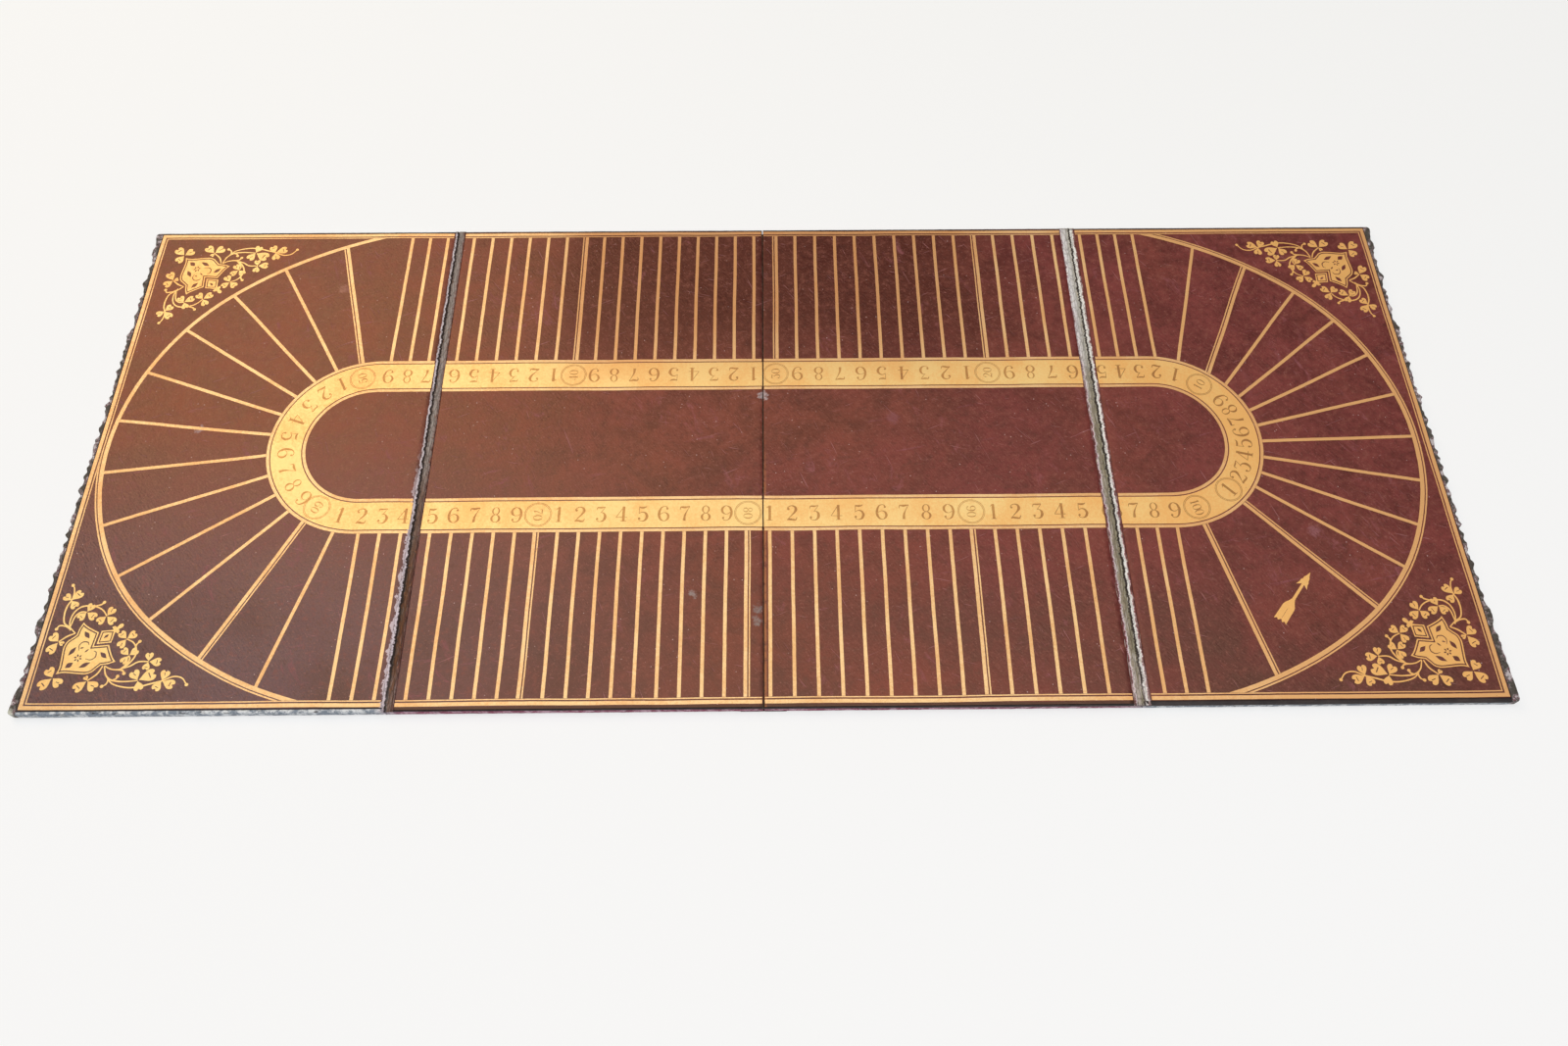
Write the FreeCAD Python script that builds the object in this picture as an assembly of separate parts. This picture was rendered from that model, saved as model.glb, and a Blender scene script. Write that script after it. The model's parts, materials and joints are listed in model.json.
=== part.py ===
import FreeCAD, Part

# Folding race-game board of a games compendium, lying open with its playing face up.
# Four leather-covered leaves stand side by side along X. The near edge is at -Y.
# The outer joints fold face to face and the centre joint folds back to back.
# Every size is in millimetres. The origin is under the middle of the open board.

import math
import os

from FreeCAD import Vector

# Leaves, from left to right, each measured from joint centre to joint centre. The outer
# two fold in over the inner two, where their free ends keep a gap between them.
leaf_1_width = 198.5
leaf_2_width = 199.6
leaf_3_width = 200.9
folded_ends_gap = 0.6
leaf_4_width = leaf_2_width + leaf_3_width - leaf_1_width - folded_ends_gap
board_depth = 330.0
board_thickness = 5.0

# Materials laid on the millboard
leather_thickness = 0.8
linen_thickness = 0.3
gilt_thickness = 0.08

# Edges and corners
free_corner_radius = 2.5
edge_rounding = 0.6

# Turned-in cover leather that shows round the playing face
end_turn_in = 4.9
near_turn_in = 2.3
far_turn_in = 1.3

# Joints
joint_gap = 0.6
hinge_slit = 0.2
fold_clearance = 0.15
left_flap_on_leaf_1 = 2.0
left_flap_on_leaf_2 = 4.0
right_flap_on_leaf_3 = 4.4
right_flap_on_leaf_4 = 4.3
centre_flap = 12.0
linen_reach = 15.0

# Double gilt line round the playing face
frame_inset = 0.3
thick_line = 2.4
thin_line = 0.9
line_spacing = 0.6

# Gilt number band, a long ring with round ends
band_half_height = 60.0
band_reach = 295.3
band_lift = 0.5
band_width = 17.4
border_line = 1.9
border_gap = 0.8

# Outer line of the track. Its two ends are round, a margin less than half the frame's depth;
# from the shoulders on it runs flatter until it meets the frame.
left_arc_inset = 3.0
right_arc_inset = 6.0
end_arc_margin = 10.1
shoulder_radius = 242.5
shoulder_turn = 52.0

# Numbered lines across the track
numbered_line = 2.1
tens_gap = 0.6
tens_thin_line = 0.9

# Straight lines: from the near side of a joint to the nearest line, or from the middle
# of the band's round end to the line beside it, first at the left and then at the right
leaf_1_far_margins = (4.1, 6.4)
leaf_1_near_margins = (3.1, 6.5)
leaf_2_far_margins = (10.7, 5.6)
leaf_2_near_margins = (10.0, 9.0)
leaf_3_far_margins = (8.2, 10.4)
leaf_3_near_margins = (3.7, 17.0)
leaf_4_far_margins = (7.7, -5.9)
leaf_4_near_margins = (12.6, 0.5)

# Turns of the spokes about the round ends, in degrees from +X. The two turns of a pair
# belong to the spoke's ends at the band and just inside the track's outer line.
spoke_end_inset = 1.3
spoke_overrun = 40.0
left_fifty_turns = (103.1, 104.2)
left_first_turns = (117.8, 119.2)
left_last_turns = (228.8, 227.6)
left_single_lines = 9
left_sixty_turns = (240.9, 242.6)
left_sixty_one_turns = (259.0, 256.4)
right_hundred_turns = (-74.7, -75.6)
right_start_turns = (-46.9, -47.3)
right_first_turns = (-34.1, -35.0)
right_last_turns = (40.1, 46.9)
right_single_lines = 8
right_ten_turns = (52.5, 60.4)
right_eleven_turns = (70.8, 73.3)

# Arrow that shows the running direction, inset from the track's round end. Its head has a
# shoulder and swept-back barbs, and its feathers taper to the shaft.
arrow_length = 37.2
arrow_turn = 51.5
arrow_inset = 34.0
arrow_place_turn = -61.0
arrow_shaft = 1.7
arrow_shoulder_length = 6.8
arrow_shoulder_width = 4.7
arrow_head_length = 11.0
arrow_head_width = 6.5
arrow_barb_sweep = 2.0
arrow_feather_length = 10.5
arrow_feather_taper = 5.7
arrow_feather_width = 7.0
arrow_notch = 1.6

# Gilt corner ornament, set out from the outer corner of the frame, x and y inwards. It is
# sized to clear the track, and each stamping stands a little apart from its true place.
ornament_clearance = 4.27
ornament_shifts = {
    "leaf_1_near": (-0.8, -1.1),
    "leaf_1_far": (3.2, -1.6),
    "leaf_4_near": (1.5, -4.1),
    "leaf_4_far": (-0.5, -1.1),
}

# Cartouche and finial: the tip, and half outlines along and across the diagonal
cartouche_tip = (16.6, 19.8)
cartouche_outline = (
    (0, 0),
    (4.9, 3.6),
    (9.0, 8.8),
    (13.0, 12.6),
    (17.6, 15.2),
    (22.2, 14.8),
    (29.5, 18.3),
    (28.4, 12.4),
    (31.0, 5.2),
    (24.4, 0),
)
finial_outline = (
    (26.0, 0),
    (31.6, 4.7),
    (36.4, 1.6),
    (37.4, 3.0),
    (38.8, 2.4),
    (39.2, 0.9),
    (41.4, 1.2),
    (42.6, 0),
)

# Clovers: place, turn of the middle leaflet, lengths of the middle and side leaflets
clovers = (
    (15.0, 18.0, 223, 9.3, 7.2),
    (13.5, 38.3, 226, 8.3, 6.5),
    (13.8, 64.3, 50, 7.5, 6.0),
    (24.8, 56.5, -35, 7.0, 6.0),
    (36.0, 54.2, -38, 7.0, 6.0),
    (52.6, 41.5, 138, 6.2, 6.0),
    (56.0, 31.3, 139, 6.0, 5.5),
    (67.3, 28.5, -3, 7.2, 5.2),
    (64.0, 17.0, 26, 10.4, 6.8),
    (78.6, 16.8, -19, 8.0, 6.4),
    (35.8, 17.0, 243, 7.5, 6.5),
)
leaflet_spread = 98
leaflet_waist = 0.7

# Outline of a leaflet of length 1 along its middle line, with its notched end
leaflet_outline = ((0.55, -0.38), (0.95, -0.25), (0.84, 0), (0.95, 0.25), (0.55, 0.38))

# Main stems of the clovers
stem_width = 0.9
stems = (
    ((21.0, 44.5), (13.3, 50.0), (11.8, 57.0), (13.8, 64.3), (12.5, 72.5)),
    ((17.2, 47.0), (17.0, 55.0), (24.0, 60.3), (31.5, 58.5), (36.0, 54.2)),
    ((43.3, 25.0), (52.0, 22.8), (58.8, 28.5), (58.6, 36.0), (52.6, 41.5)),
    ((53.0, 23.0), (60.5, 27.0), (67.3, 28.5)),
    ((43.5, 24.5), (46.5, 18.5), (54.0, 13.6), (66.0, 13.4), (78.6, 16.8), (86.5, 19.2), (91.3, 14.5)),
)

# Stations worked out from the sizes above
board_width = leaf_1_width + leaf_2_width + leaf_3_width + leaf_4_width
left_end = -board_width / 2
right_end = board_width / 2
near_edge = -board_depth / 2
far_edge = board_depth / 2
left_joint = left_end + leaf_1_width
centre_joint = left_joint + leaf_2_width
right_joint = centre_joint + leaf_3_width
face_bottom = board_thickness - leather_thickness
face_linen_bottom = face_bottom - linen_thickness
back_linen_top = leather_thickness + linen_thickness
double_line = thick_line + line_spacing + thin_line

frame_left = left_end + end_turn_in + frame_inset
frame_right = right_end - end_turn_in - frame_inset
frame_near = near_edge + near_turn_in + frame_inset
frame_far = far_edge - far_turn_in - frame_inset
frame_middle = (frame_near + frame_far) / 2
frame_half_depth = (frame_far - frame_near) / 2
end_arc_radius = frame_half_depth - end_arc_margin
left_arc_x = frame_left + left_arc_inset + end_arc_radius
right_arc_x = frame_right - right_arc_inset - end_arc_radius

band_middle = frame_middle + band_lift
band_end_x = band_reach - band_half_height
border_width = border_line + border_gap

# Room on the diagonal of a corner, and how much of it the ornament takes as drawn
corner_room = math.hypot(end_arc_radius + left_arc_inset, frame_half_depth) - end_arc_radius
ornament_reach = (cartouche_tip[0] + cartouche_tip[1]) * math.sqrt(0.5) + finial_outline[-1][0]
ornament_scale = (corner_room - ornament_clearance) / ornament_reach

# How near two edges must lie to count as the same
tolerance = 0.01


class Leaf:
    """One leaf: its place, and what each of its two sides is."""

    def __init__(self, name, start, end, left_side, right_side, left_flap, right_flap):
        self.name = name
        self.left_side = left_side
        self.right_side = right_side
        self.start = start
        self.end = end
        self.left = start + (0 if left_side == "free" else joint_gap / 2)
        self.right = end - (0 if right_side == "free" else joint_gap / 2)
        self.left_flap = left_flap
        self.right_flap = right_flap
        self.face_left = self.left + self.face_margin(left_side, left_flap)
        self.face_right = self.right - self.face_margin(right_side, right_flap)

    @staticmethod
    def face_margin(side, flap):
        """Distance from a side of the leaf to its face leather."""
        if side == "free":
            return end_turn_in
        return flap if side == "face hinge" else 0

    def sides(self):
        """Each side as (kind, x of the side, direction towards the leaf, flap, joint x)."""
        return (
            (self.left_side, self.left, 1, self.left_flap, self.start),
            (self.right_side, self.right, -1, self.right_flap, self.end),
        )


leaf_1 = Leaf(
    "leaf_1", left_end, left_joint, "free", "face hinge", 0, left_flap_on_leaf_1
)
leaf_2 = Leaf(
    "leaf_2", left_joint, centre_joint, "face hinge", "back hinge", left_flap_on_leaf_2, centre_flap
)
leaf_3 = Leaf(
    "leaf_3", centre_joint, right_joint, "back hinge", "face hinge", centre_flap, right_flap_on_leaf_3
)
leaf_4 = Leaf(
    "leaf_4", right_joint, right_end, "face hinge", "free", right_flap_on_leaf_4, 0
)

# Names of the joints at the left and right side of each leaf
joint_names = {
    leaf_1: ("", "left"),
    leaf_2: ("left", "centre"),
    leaf_3: ("centre", "right"),
    leaf_4: ("right", ""),
}


class Run:
    """Evenly spaced straight lines over the far or near half of a leaf.

    The tens are those of its lines, counted from 0 at the left, that are double.
    """

    def __init__(self, first_x, last_x, count, is_far, tens=()):
        self.first_x = first_x
        self.last_x = last_x
        self.count = count
        self.is_far = is_far
        self.tens = tens


def run(start, end, margins, count, is_far, tens=()):
    """Run of lines between two stations, a margin away from each."""
    return Run(start + margins[0], end - margins[1], count, is_far, tens)


straight_runs = {
    leaf_1: (
        run(-band_end_x, left_joint, leaf_1_far_margins, 3, True),
        run(-band_end_x, left_joint, leaf_1_near_margins, 3, False),
    ),
    leaf_2: (
        run(left_joint, centre_joint, leaf_2_far_margins, 16, True, (6,)),
        run(left_joint, centre_joint, leaf_2_near_margins, 16, False, (5, 15)),
    ),
    leaf_3: (
        run(centre_joint, right_joint, leaf_3_far_margins, 15, True, (0, 10)),
        run(centre_joint, right_joint, leaf_3_near_margins, 15, False, (9,)),
    ),
    leaf_4: (
        run(right_joint, band_end_x, leaf_4_far_margins, 4, True),
        run(right_joint, band_end_x, leaf_4_near_margins, 3, False),
    ),
}


def box(x0, x1, y0, y1, z0, z1):
    """Plain block between two corners; x0 and x1 may come in either order."""
    low, high = min(x0, x1), max(x0, x1)
    return Part.makeBox(high - low, y1 - y0, z1 - z0, Vector(low, y0, z0))


def arc(centre, radius, start_turn, end_turn):
    """Flat arc, counter-clockwise between two turns from +X."""
    circle = Part.Circle(centre, Vector(0, 0, 1), radius)
    return Part.Arc(circle, math.radians(start_turn), math.radians(end_turn)).toShape()


def rounded_outline(x0, x1, y0, y1, left_radius, right_radius):
    """Rectangle in plan whose left and right pairs of corners are rounded."""
    corners = (
        (x0, y0, 1, 1, left_radius, 180),
        (x1, y0, -1, 1, right_radius, 270),
        (x1, y1, -1, -1, right_radius, 0),
        (x0, y1, 1, -1, left_radius, 90),
    )
    edges = []
    first = last = None
    for x, y, x_way, y_way, radius, turn in corners:
        corner = None
        start = end = Vector(x, y, 0)
        if radius > 0:
            corner = arc(Vector(x + x_way * radius, y + y_way * radius, 0), radius, turn, turn + 90)
            start, end = corner.Vertexes[0].Point, corner.Vertexes[-1].Point
        if last is None:
            first = start
        else:
            edges.append(Part.makeLine(last, start))
        if corner is not None:
            edges.append(corner)
        last = end
    edges.append(Part.makeLine(last, first))
    return Part.Wire(edges)


def slab(x0, x1, y0, y1, z0, z1, left_radius=0, right_radius=0):
    """Flat block with rounded upright corners."""
    wire = rounded_outline(x0, x1, y0, y1, left_radius, right_radius)
    wire.translate(Vector(0, 0, z0))
    return Part.Face(wire).extrude(Vector(0, 0, z1 - z0))


def leaf_slab(leaf, inset, z0, z1):
    """Flat block of a leaf's outline, drawn in on all sides by inset.

    Its corners are rounded at the ends of the board and square at the joints.
    """
    radius = free_corner_radius - inset
    return slab(
        leaf.left + inset,
        leaf.right - inset,
        near_edge + inset,
        far_edge - inset,
        z0,
        z1,
        radius if leaf.left_side == "free" else 0,
        radius if leaf.right_side == "free" else 0,
    )


def rounded_edges(shape, leaf):
    """Rounds the top and bottom arrises of a leaf, except along its hinges."""
    chosen = []
    for edge in shape.Edges:
        bounds = edge.BoundBox
        if bounds.ZLength > edge_rounding:
            continue
        along_left = bounds.XLength < edge_rounding and abs(bounds.XMin - leaf.left) < edge_rounding
        along_right = bounds.XLength < edge_rounding and abs(bounds.XMax - leaf.right) < edge_rounding
        if along_left and leaf.left_side != "free":
            continue
        if along_right and leaf.right_side != "free":
            continue
        chosen.append(edge)
    return shape.makeFillet(edge_rounding, chosen)


def millboard(leaf):
    """Stiff board in the middle of a leaf, stepped where the linen is let in."""
    board = leaf_slab(leaf, leather_thickness, leather_thickness, face_bottom)
    for kind, x, way, _flap, _joint in leaf.sides():
        if kind != "free":
            board = board.cut(linen_space(kind, x, way, x))
    return board


def linen_space(kind, x, way, joint_side):
    """Room for the linen at one side of a leaf, out as far as joint_side."""
    low = face_linen_bottom if kind == "face hinge" else leather_thickness
    return box(
        x + way * linen_reach,
        joint_side,
        near_edge + leather_thickness,
        far_edge - leather_thickness,
        low,
        low + linen_thickness,
    )


def back_cover(leaf):
    """Leather over the back and edges of a leaf, turned in round its face."""
    cover = rounded_edges(leaf_slab(leaf, 0, 0, board_thickness), leaf)
    cover = cover.cut(leaf_slab(leaf, leather_thickness, leather_thickness, face_bottom))
    cover = cover.cut(face_opening(leaf))
    for kind, x, way, flap, _joint in leaf.sides():
        outside = x - way * joint_gap
        flap_end = x + way * flap
        if kind == "face hinge":
            cover = cover.cut(box(flap_end, outside, near_edge, far_edge, face_bottom, board_thickness))
            cover = cover.cut(linen_space(kind, x, way, outside))
        if kind == "back hinge":
            cover = cover.cut(box(flap_end, outside, near_edge, far_edge, 0, leather_thickness))
            cover = cover.cut(
                box(
                    x + way * leather_thickness,
                    outside,
                    near_edge + leather_thickness,
                    far_edge - leather_thickness,
                    leather_thickness,
                    board_thickness,
                )
            )
    return cover


def face_opening(leaf):
    """Space of the flat face leather between the turned-in edges."""
    return box(
        leaf.face_left,
        leaf.face_right,
        near_edge + near_turn_in,
        far_edge - far_turn_in,
        face_bottom,
        board_thickness,
    )


def face_leather(leaf):
    """Leather of the playing face, turned down over the board at the centre joint."""
    face = face_opening(leaf)
    for kind, x, way, _flap, _joint in leaf.sides():
        if kind == "back hinge":
            turned_down = box(
                x,
                x + way * leather_thickness,
                near_edge + leather_thickness,
                far_edge - leather_thickness,
                back_linen_top,
                face_bottom,
            )
            face = face.fuse(turned_down).removeSplitter()
            arris = [edge for edge in face.Edges if is_top_arris(edge, x)]
            face = face.makeFillet(edge_rounding, arris)
    return face


def is_top_arris(edge, x):
    """True for the edge of the face leather that lies along the centre joint."""
    bounds = edge.BoundBox
    on_joint = abs(bounds.XMin - x) < tolerance and abs(bounds.XMax - x) < tolerance
    on_top = abs(bounds.ZMin - board_thickness) < tolerance
    return on_joint and on_top


def hinge_leather(kind, x, way, flap, joint):
    """Half of a joint's leather strip: one flap, as far as the fold line."""
    low = face_bottom if kind == "face hinge" else 0
    fold_line = joint + way * hinge_slit / 2
    return box(x + way * flap, fold_line, near_edge, far_edge, low, low + leather_thickness)


def hinge_linen(kind, x, way, _flap, joint):
    """Half of a joint's linen lining, which lies between board and leather."""
    return linen_space(kind, x, way, joint + way * hinge_slit / 2)


def stadium(left_x, right_x, middle, radius):
    """Long face with round ends, flat at the level of the playing face."""
    left_arc = arc(Vector(left_x, middle, board_thickness), radius, 90, 270)
    right_arc = arc(Vector(right_x, middle, board_thickness), radius, -90, 90)
    near = Part.makeLine(left_arc.Vertexes[-1].Point, right_arc.Vertexes[0].Point)
    far = Part.makeLine(right_arc.Vertexes[-1].Point, left_arc.Vertexes[0].Point)
    return Part.Face(Part.Wire([left_arc, near, right_arc, far]))


def gilt(face):
    """Gives a flat figure on the playing face the thickness of its gilding."""
    return face.extrude(Vector(0, 0, gilt_thickness))


def band_ring(outer_radius, inner_radius):
    """Ring with straight sides and round ends, concentric with the number band."""
    outer = stadium(-band_end_x, band_end_x, band_middle, outer_radius)
    inner = stadium(-band_end_x, band_end_x, band_middle, inner_radius)
    return gilt(outer.cut(inner))


def rectangle(inset):
    """Face inside the gilt frame's outer edge, by a given distance."""
    low = Vector(frame_left + inset, frame_near + inset, board_thickness)
    width = frame_right - frame_left - 2 * inset
    depth = frame_far - frame_near - 2 * inset
    return Part.makePlane(width, depth, low)


def window(leaf):
    """Part of the playing face that is gilded on one leaf."""
    return box(
        leaf.face_left + frame_inset,
        leaf.face_right - frame_inset,
        near_edge,
        far_edge,
        board_thickness,
        board_thickness + gilt_thickness,
    )


def frame_lines(leaf):
    """Thick outer and thin inner line along the outer sides of a leaf."""
    thick = gilt(rectangle(0).cut(rectangle(thick_line)))
    thin = gilt(rectangle(thick_line + line_spacing).cut(rectangle(double_line)))
    return [thick.common(window(leaf)), thin.common(window(leaf))]


def strip(start, end, offset, width):
    """Flat gilt line from start to end, moved sideways to its left by offset."""
    along = (end - start).normalize()
    side = Vector(-along.y, along.x, 0)
    low, high = offset - width / 2, offset + width / 2
    corners = [start + side * low, end + side * low, end + side * high, start + side * high]
    return gilt(Part.Face(Part.makePolygon(corners + corners[:1])))


def numbered_lines(start, end, is_ten):
    """The line of one number, or the thick and thin pair of a ten.

    The line runs from the band outwards, so the running direction is on its left.
    """
    if not is_ten:
        return [strip(start, end, 0, numbered_line)]
    pair = numbered_line + tens_gap + tens_thin_line
    thick_offset = (numbered_line - pair) / 2
    thin_offset = (pair - tens_thin_line) / 2
    return [
        strip(start, end, thick_offset, numbered_line),
        strip(start, end, thin_offset, tens_thin_line),
    ]


def straight_lines(lines):
    """Parallel lines of one run, from left to right."""
    end_y = frame_far if lines.is_far else frame_near
    made = []
    for number in range(lines.count):
        x = lines.first_x + (lines.last_x - lines.first_x) * number / (lines.count - 1)
        start = Vector(x, band_middle, board_thickness)
        end = Vector(x, end_y, board_thickness)
        made += numbered_lines(start, end, number in lines.tens)
    return made


def spoke(centre_x, turns, is_ten):
    """Line across a round end of the track, through its places at two radii.

    It starts inside the band's border and runs on past the track, which trims it.
    """
    centre = Vector(centre_x, band_middle, board_thickness)
    start = centre + turned(turns[0], band_half_height)
    end = centre + turned(turns[1], end_arc_radius - spoke_end_inset)
    along = (end - start).normalize()
    return numbered_lines(start - along * border_width, end + along * spoke_overrun, is_ten)


def turned(degrees, length):
    """Flat vector of a given length, turned from +X."""
    angle = math.radians(degrees)
    return Vector(length * math.cos(angle), length * math.sin(angle), 0)


def fan(centre_x, first_turns, last_turns, count):
    """Single spokes, evenly turned from the first to the last."""
    lines = []
    for step in range(count):
        share = step / (count - 1)
        turns = [first + share * (last - first) for first, last in zip(first_turns, last_turns)]
        lines += spoke(centre_x, turns, False)
    return lines


def left_spokes():
    """Lines 50 to 61 round the left end."""
    lines = spoke(-band_end_x, left_fifty_turns, True)
    lines += fan(-band_end_x, left_first_turns, left_last_turns, left_single_lines)
    lines += spoke(-band_end_x, left_sixty_turns, True)
    return lines + spoke(-band_end_x, left_sixty_one_turns, False)


def right_spokes():
    """Lines 100, 1 to 10 and 11 round the right end."""
    lines = spoke(band_end_x, right_hundred_turns, True) + spoke(band_end_x, right_start_turns, True)
    lines += fan(band_end_x, right_first_turns, right_last_turns, right_single_lines)
    lines += spoke(band_end_x, right_ten_turns, True)
    return lines + spoke(band_end_x, right_eleven_turns, False)


def track_outline(inset):
    """Face inside the outer line of the track, drawn in by inset.

    Each end is three arcs that run smoothly into one another. The last of them reaches
    beyond the frame, where a straight line closes the outline.
    """
    edges = []
    for centre_x, facing in ((right_arc_x, 0), (left_arc_x, 180)):
        centre = Vector(centre_x, frame_middle, board_thickness)
        turns = (facing - 90, facing - shoulder_turn, facing + shoulder_turn, facing + 90)
        shift = shoulder_radius - end_arc_radius
        edges.append(arc(centre - turned(turns[1], shift), shoulder_radius - inset, turns[0], turns[1]))
        edges.append(arc(centre, end_arc_radius - inset, turns[1], turns[2]))
        edges.append(arc(centre - turned(turns[2], shift), shoulder_radius - inset, turns[2], turns[3]))
    right_end = edges[2].Vertexes[-1].Point
    left_start = edges[3].Vertexes[0].Point
    left_end = edges[5].Vertexes[-1].Point
    right_start = edges[0].Vertexes[0].Point
    far_line = Part.makeLine(right_end, left_start)
    near_line = Part.makeLine(left_end, right_start)
    return Part.Face(Part.Wire(edges[:3] + [far_line] + edges[3:] + [near_line]))


def track_field():
    """Leather between the outer line of the track, the frame and the number band."""
    outer = track_outline(double_line).common(rectangle(double_line))
    return gilt(outer.cut(stadium(-band_end_x, band_end_x, band_middle, band_half_height)))


def outer_arcs():
    """Thin outer and thick inner line round the two ends of the track."""
    inside = rectangle(double_line)
    thin = track_outline(0).cut(track_outline(thin_line))
    thick = track_outline(thin_line + line_spacing).cut(track_outline(double_line))
    return [gilt(thin.common(inside)), gilt(thick.common(inside))]


def track_lines(leaf):
    """All the track's gilt lines on one leaf, with the fine borders of its band."""
    crossing = []
    for lines in straight_runs[leaf]:
        crossing += straight_lines(lines)
    if leaf.left_side == "free":
        crossing += left_spokes()
    if leaf.right_side == "free":
        crossing += right_spokes()
    field = track_field()
    trimmed = [line.common(field) for line in crossing]
    inner_border = band_half_height - border_width - band_width - border_gap
    borders = [
        band_ring(band_half_height, band_half_height - border_line),
        band_ring(inner_border, inner_border - border_line),
    ]
    return trimmed + [ring.common(window(leaf)) for ring in borders + outer_arcs()]


def number_band(leaf):
    """Broad gilt band that carries the numbers."""
    outer = band_half_height - border_width
    return band_ring(outer, outer - band_width).common(window(leaf))


def start_arrow():
    """Feathered arrow in the cell before the start, pointing the way to run."""
    point = arrow_length / 2
    tail = -point
    barb = point - arrow_head_length
    feather_end = tail + arrow_feather_length
    upper = [
        (point, 0),
        (point - arrow_shoulder_length, arrow_shoulder_width / 2),
        (barb, arrow_head_width / 2),
        (barb + arrow_barb_sweep, arrow_shaft / 2),
        (feather_end + arrow_feather_taper, arrow_shaft / 2),
        (feather_end, arrow_feather_width / 2),
        (tail, arrow_feather_width / 2),
        (tail + arrow_notch, 0),
    ]
    lower = [(x, -y) for x, y in reversed(upper[1:-1])]
    points = [Vector(x, y, 0) for x, y in upper + lower]
    shape = Part.Face(Part.makePolygon(points + points[:1]))
    shape.rotate(Vector(0, 0, 0), Vector(0, 0, 1), arrow_turn)
    shape.translate(Vector(band_end_x, band_middle, board_thickness))
    shape.translate(turned(arrow_place_turn, end_arc_radius - arrow_inset))
    return gilt(shape)


def cartouche_points(outline):
    """Both halves of an outline that is symmetric about the ornament's diagonal."""
    diagonal = math.sqrt(0.5)
    mirrored = [(along, -across) for along, across in reversed(outline[1:-1])]
    return [
        (
            cartouche_tip[0] + (along + across) * diagonal,
            cartouche_tip[1] + (along - across) * diagonal,
        )
        for along, across in list(outline) + mirrored
    ]


def clover_points(x, y, turn, middle_length, side_length):
    """Three notched leaflets that meet in narrow waists round one point."""
    centre = Vector(x, y, 0)
    points = []
    for step, length in ((-1, side_length), (0, middle_length), (1, side_length)):
        heading = turn + step * leaflet_spread
        for along, across in leaflet_outline:
            points.append(centre + turned(heading, along * length) + turned(heading + 90, across * length))
        gap = heading + leaflet_spread / 2 if step < 1 else turn + 180
        points.append(centre + turned(gap, leaflet_waist))
    return [(point.x, point.y) for point in points]


def stem_points(route):
    """Outline of a narrow band that follows a route of straight pieces."""
    places = [Vector(x, y, 0) for x, y in route]
    left = []
    right = []
    for number, place in enumerate(places):
        before = places[max(number - 1, 0)]
        after = places[min(number + 1, len(places) - 1)]
        along = (after - before).normalize()
        side = Vector(-along.y, along.x, 0) * (stem_width / 2)
        left.append(place + side)
        right.append(place - side)
    return [(point.x, point.y) for point in left + right[::-1]]


def corner_ornament(leaf, is_far):
    """Gilt stamping in one corner of the frame: a cartouche among clovers."""
    name = leaf.name + ("_far" if is_far else "_near")
    x_way = 1 if leaf.left_side == "free" else -1
    y_way = -1 if is_far else 1
    corner_x = frame_left if x_way > 0 else frame_right
    corner_y = frame_far if is_far else frame_near
    shift_x, shift_y = ornament_shifts[name]
    outlines = [cartouche_points(cartouche_outline), cartouche_points(finial_outline)]
    outlines += [clover_points(*clover) for clover in clovers]
    outlines += [stem_points(route) for route in stems]
    figures = []
    for outline in outlines:
        points = []
        for x, y in outline:
            in_x = x * ornament_scale + shift_x
            in_y = y * ornament_scale + shift_y
            points.append(Vector(corner_x + x_way * in_x, corner_y + y_way * in_y, board_thickness))
        figures.append(gilt(Part.Face(Part.makePolygon(points + points[:1]))))
    return figures[0].multiFuse(figures[1:]).removeSplitter()


def solids_of(shapes):
    """Collects the solids of several shapes, leaving out empty results."""
    found = []
    for shape in shapes if isinstance(shapes, list) else [shapes]:
        found += shape.Solids
    return found


def export(name, shapes):
    """Writes one node, as a single solid or as a group of separate ones."""
    solids = solids_of(shapes)
    shape = solids[0] if len(solids) == 1 else Part.makeCompound(solids)
    shape.exportStep("parts/" + name + ".step")


def main():
    os.makedirs("parts", exist_ok=True)
    for leaf, sides in joint_names.items():
        export(leaf.name + "_board", millboard(leaf))
        export(leaf.name + "_back_cover", back_cover(leaf))
        export(leaf.name + "_face_leather", face_leather(leaf))
        export(leaf.name + "_number_band", number_band(leaf))
        export(leaf.name + "_frame_lines", frame_lines(leaf))
        export(leaf.name + "_track_lines", track_lines(leaf))
        for side, joint_name in zip(leaf.sides(), sides):
            if side[0] == "free":
                export(leaf.name + "_near_corner_ornament", corner_ornament(leaf, False))
                export(leaf.name + "_far_corner_ornament", corner_ornament(leaf, True))
            else:
                export(joint_name + "_hinge_leather_on_" + leaf.name, hinge_leather(*side))
                export(joint_name + "_hinge_linen_on_" + leaf.name, hinge_linen(*side))
    export("start_arrow", start_arrow())


main()
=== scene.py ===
"""Looks of the folding race-game board: leather, gold tooling, worn edges, light and camera."""

import json
import math
from functools import reduce

import bpy
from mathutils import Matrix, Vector, noise
from mathutils.geometry import delaunay_2d_cdt, intersect_line_line_2d


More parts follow.
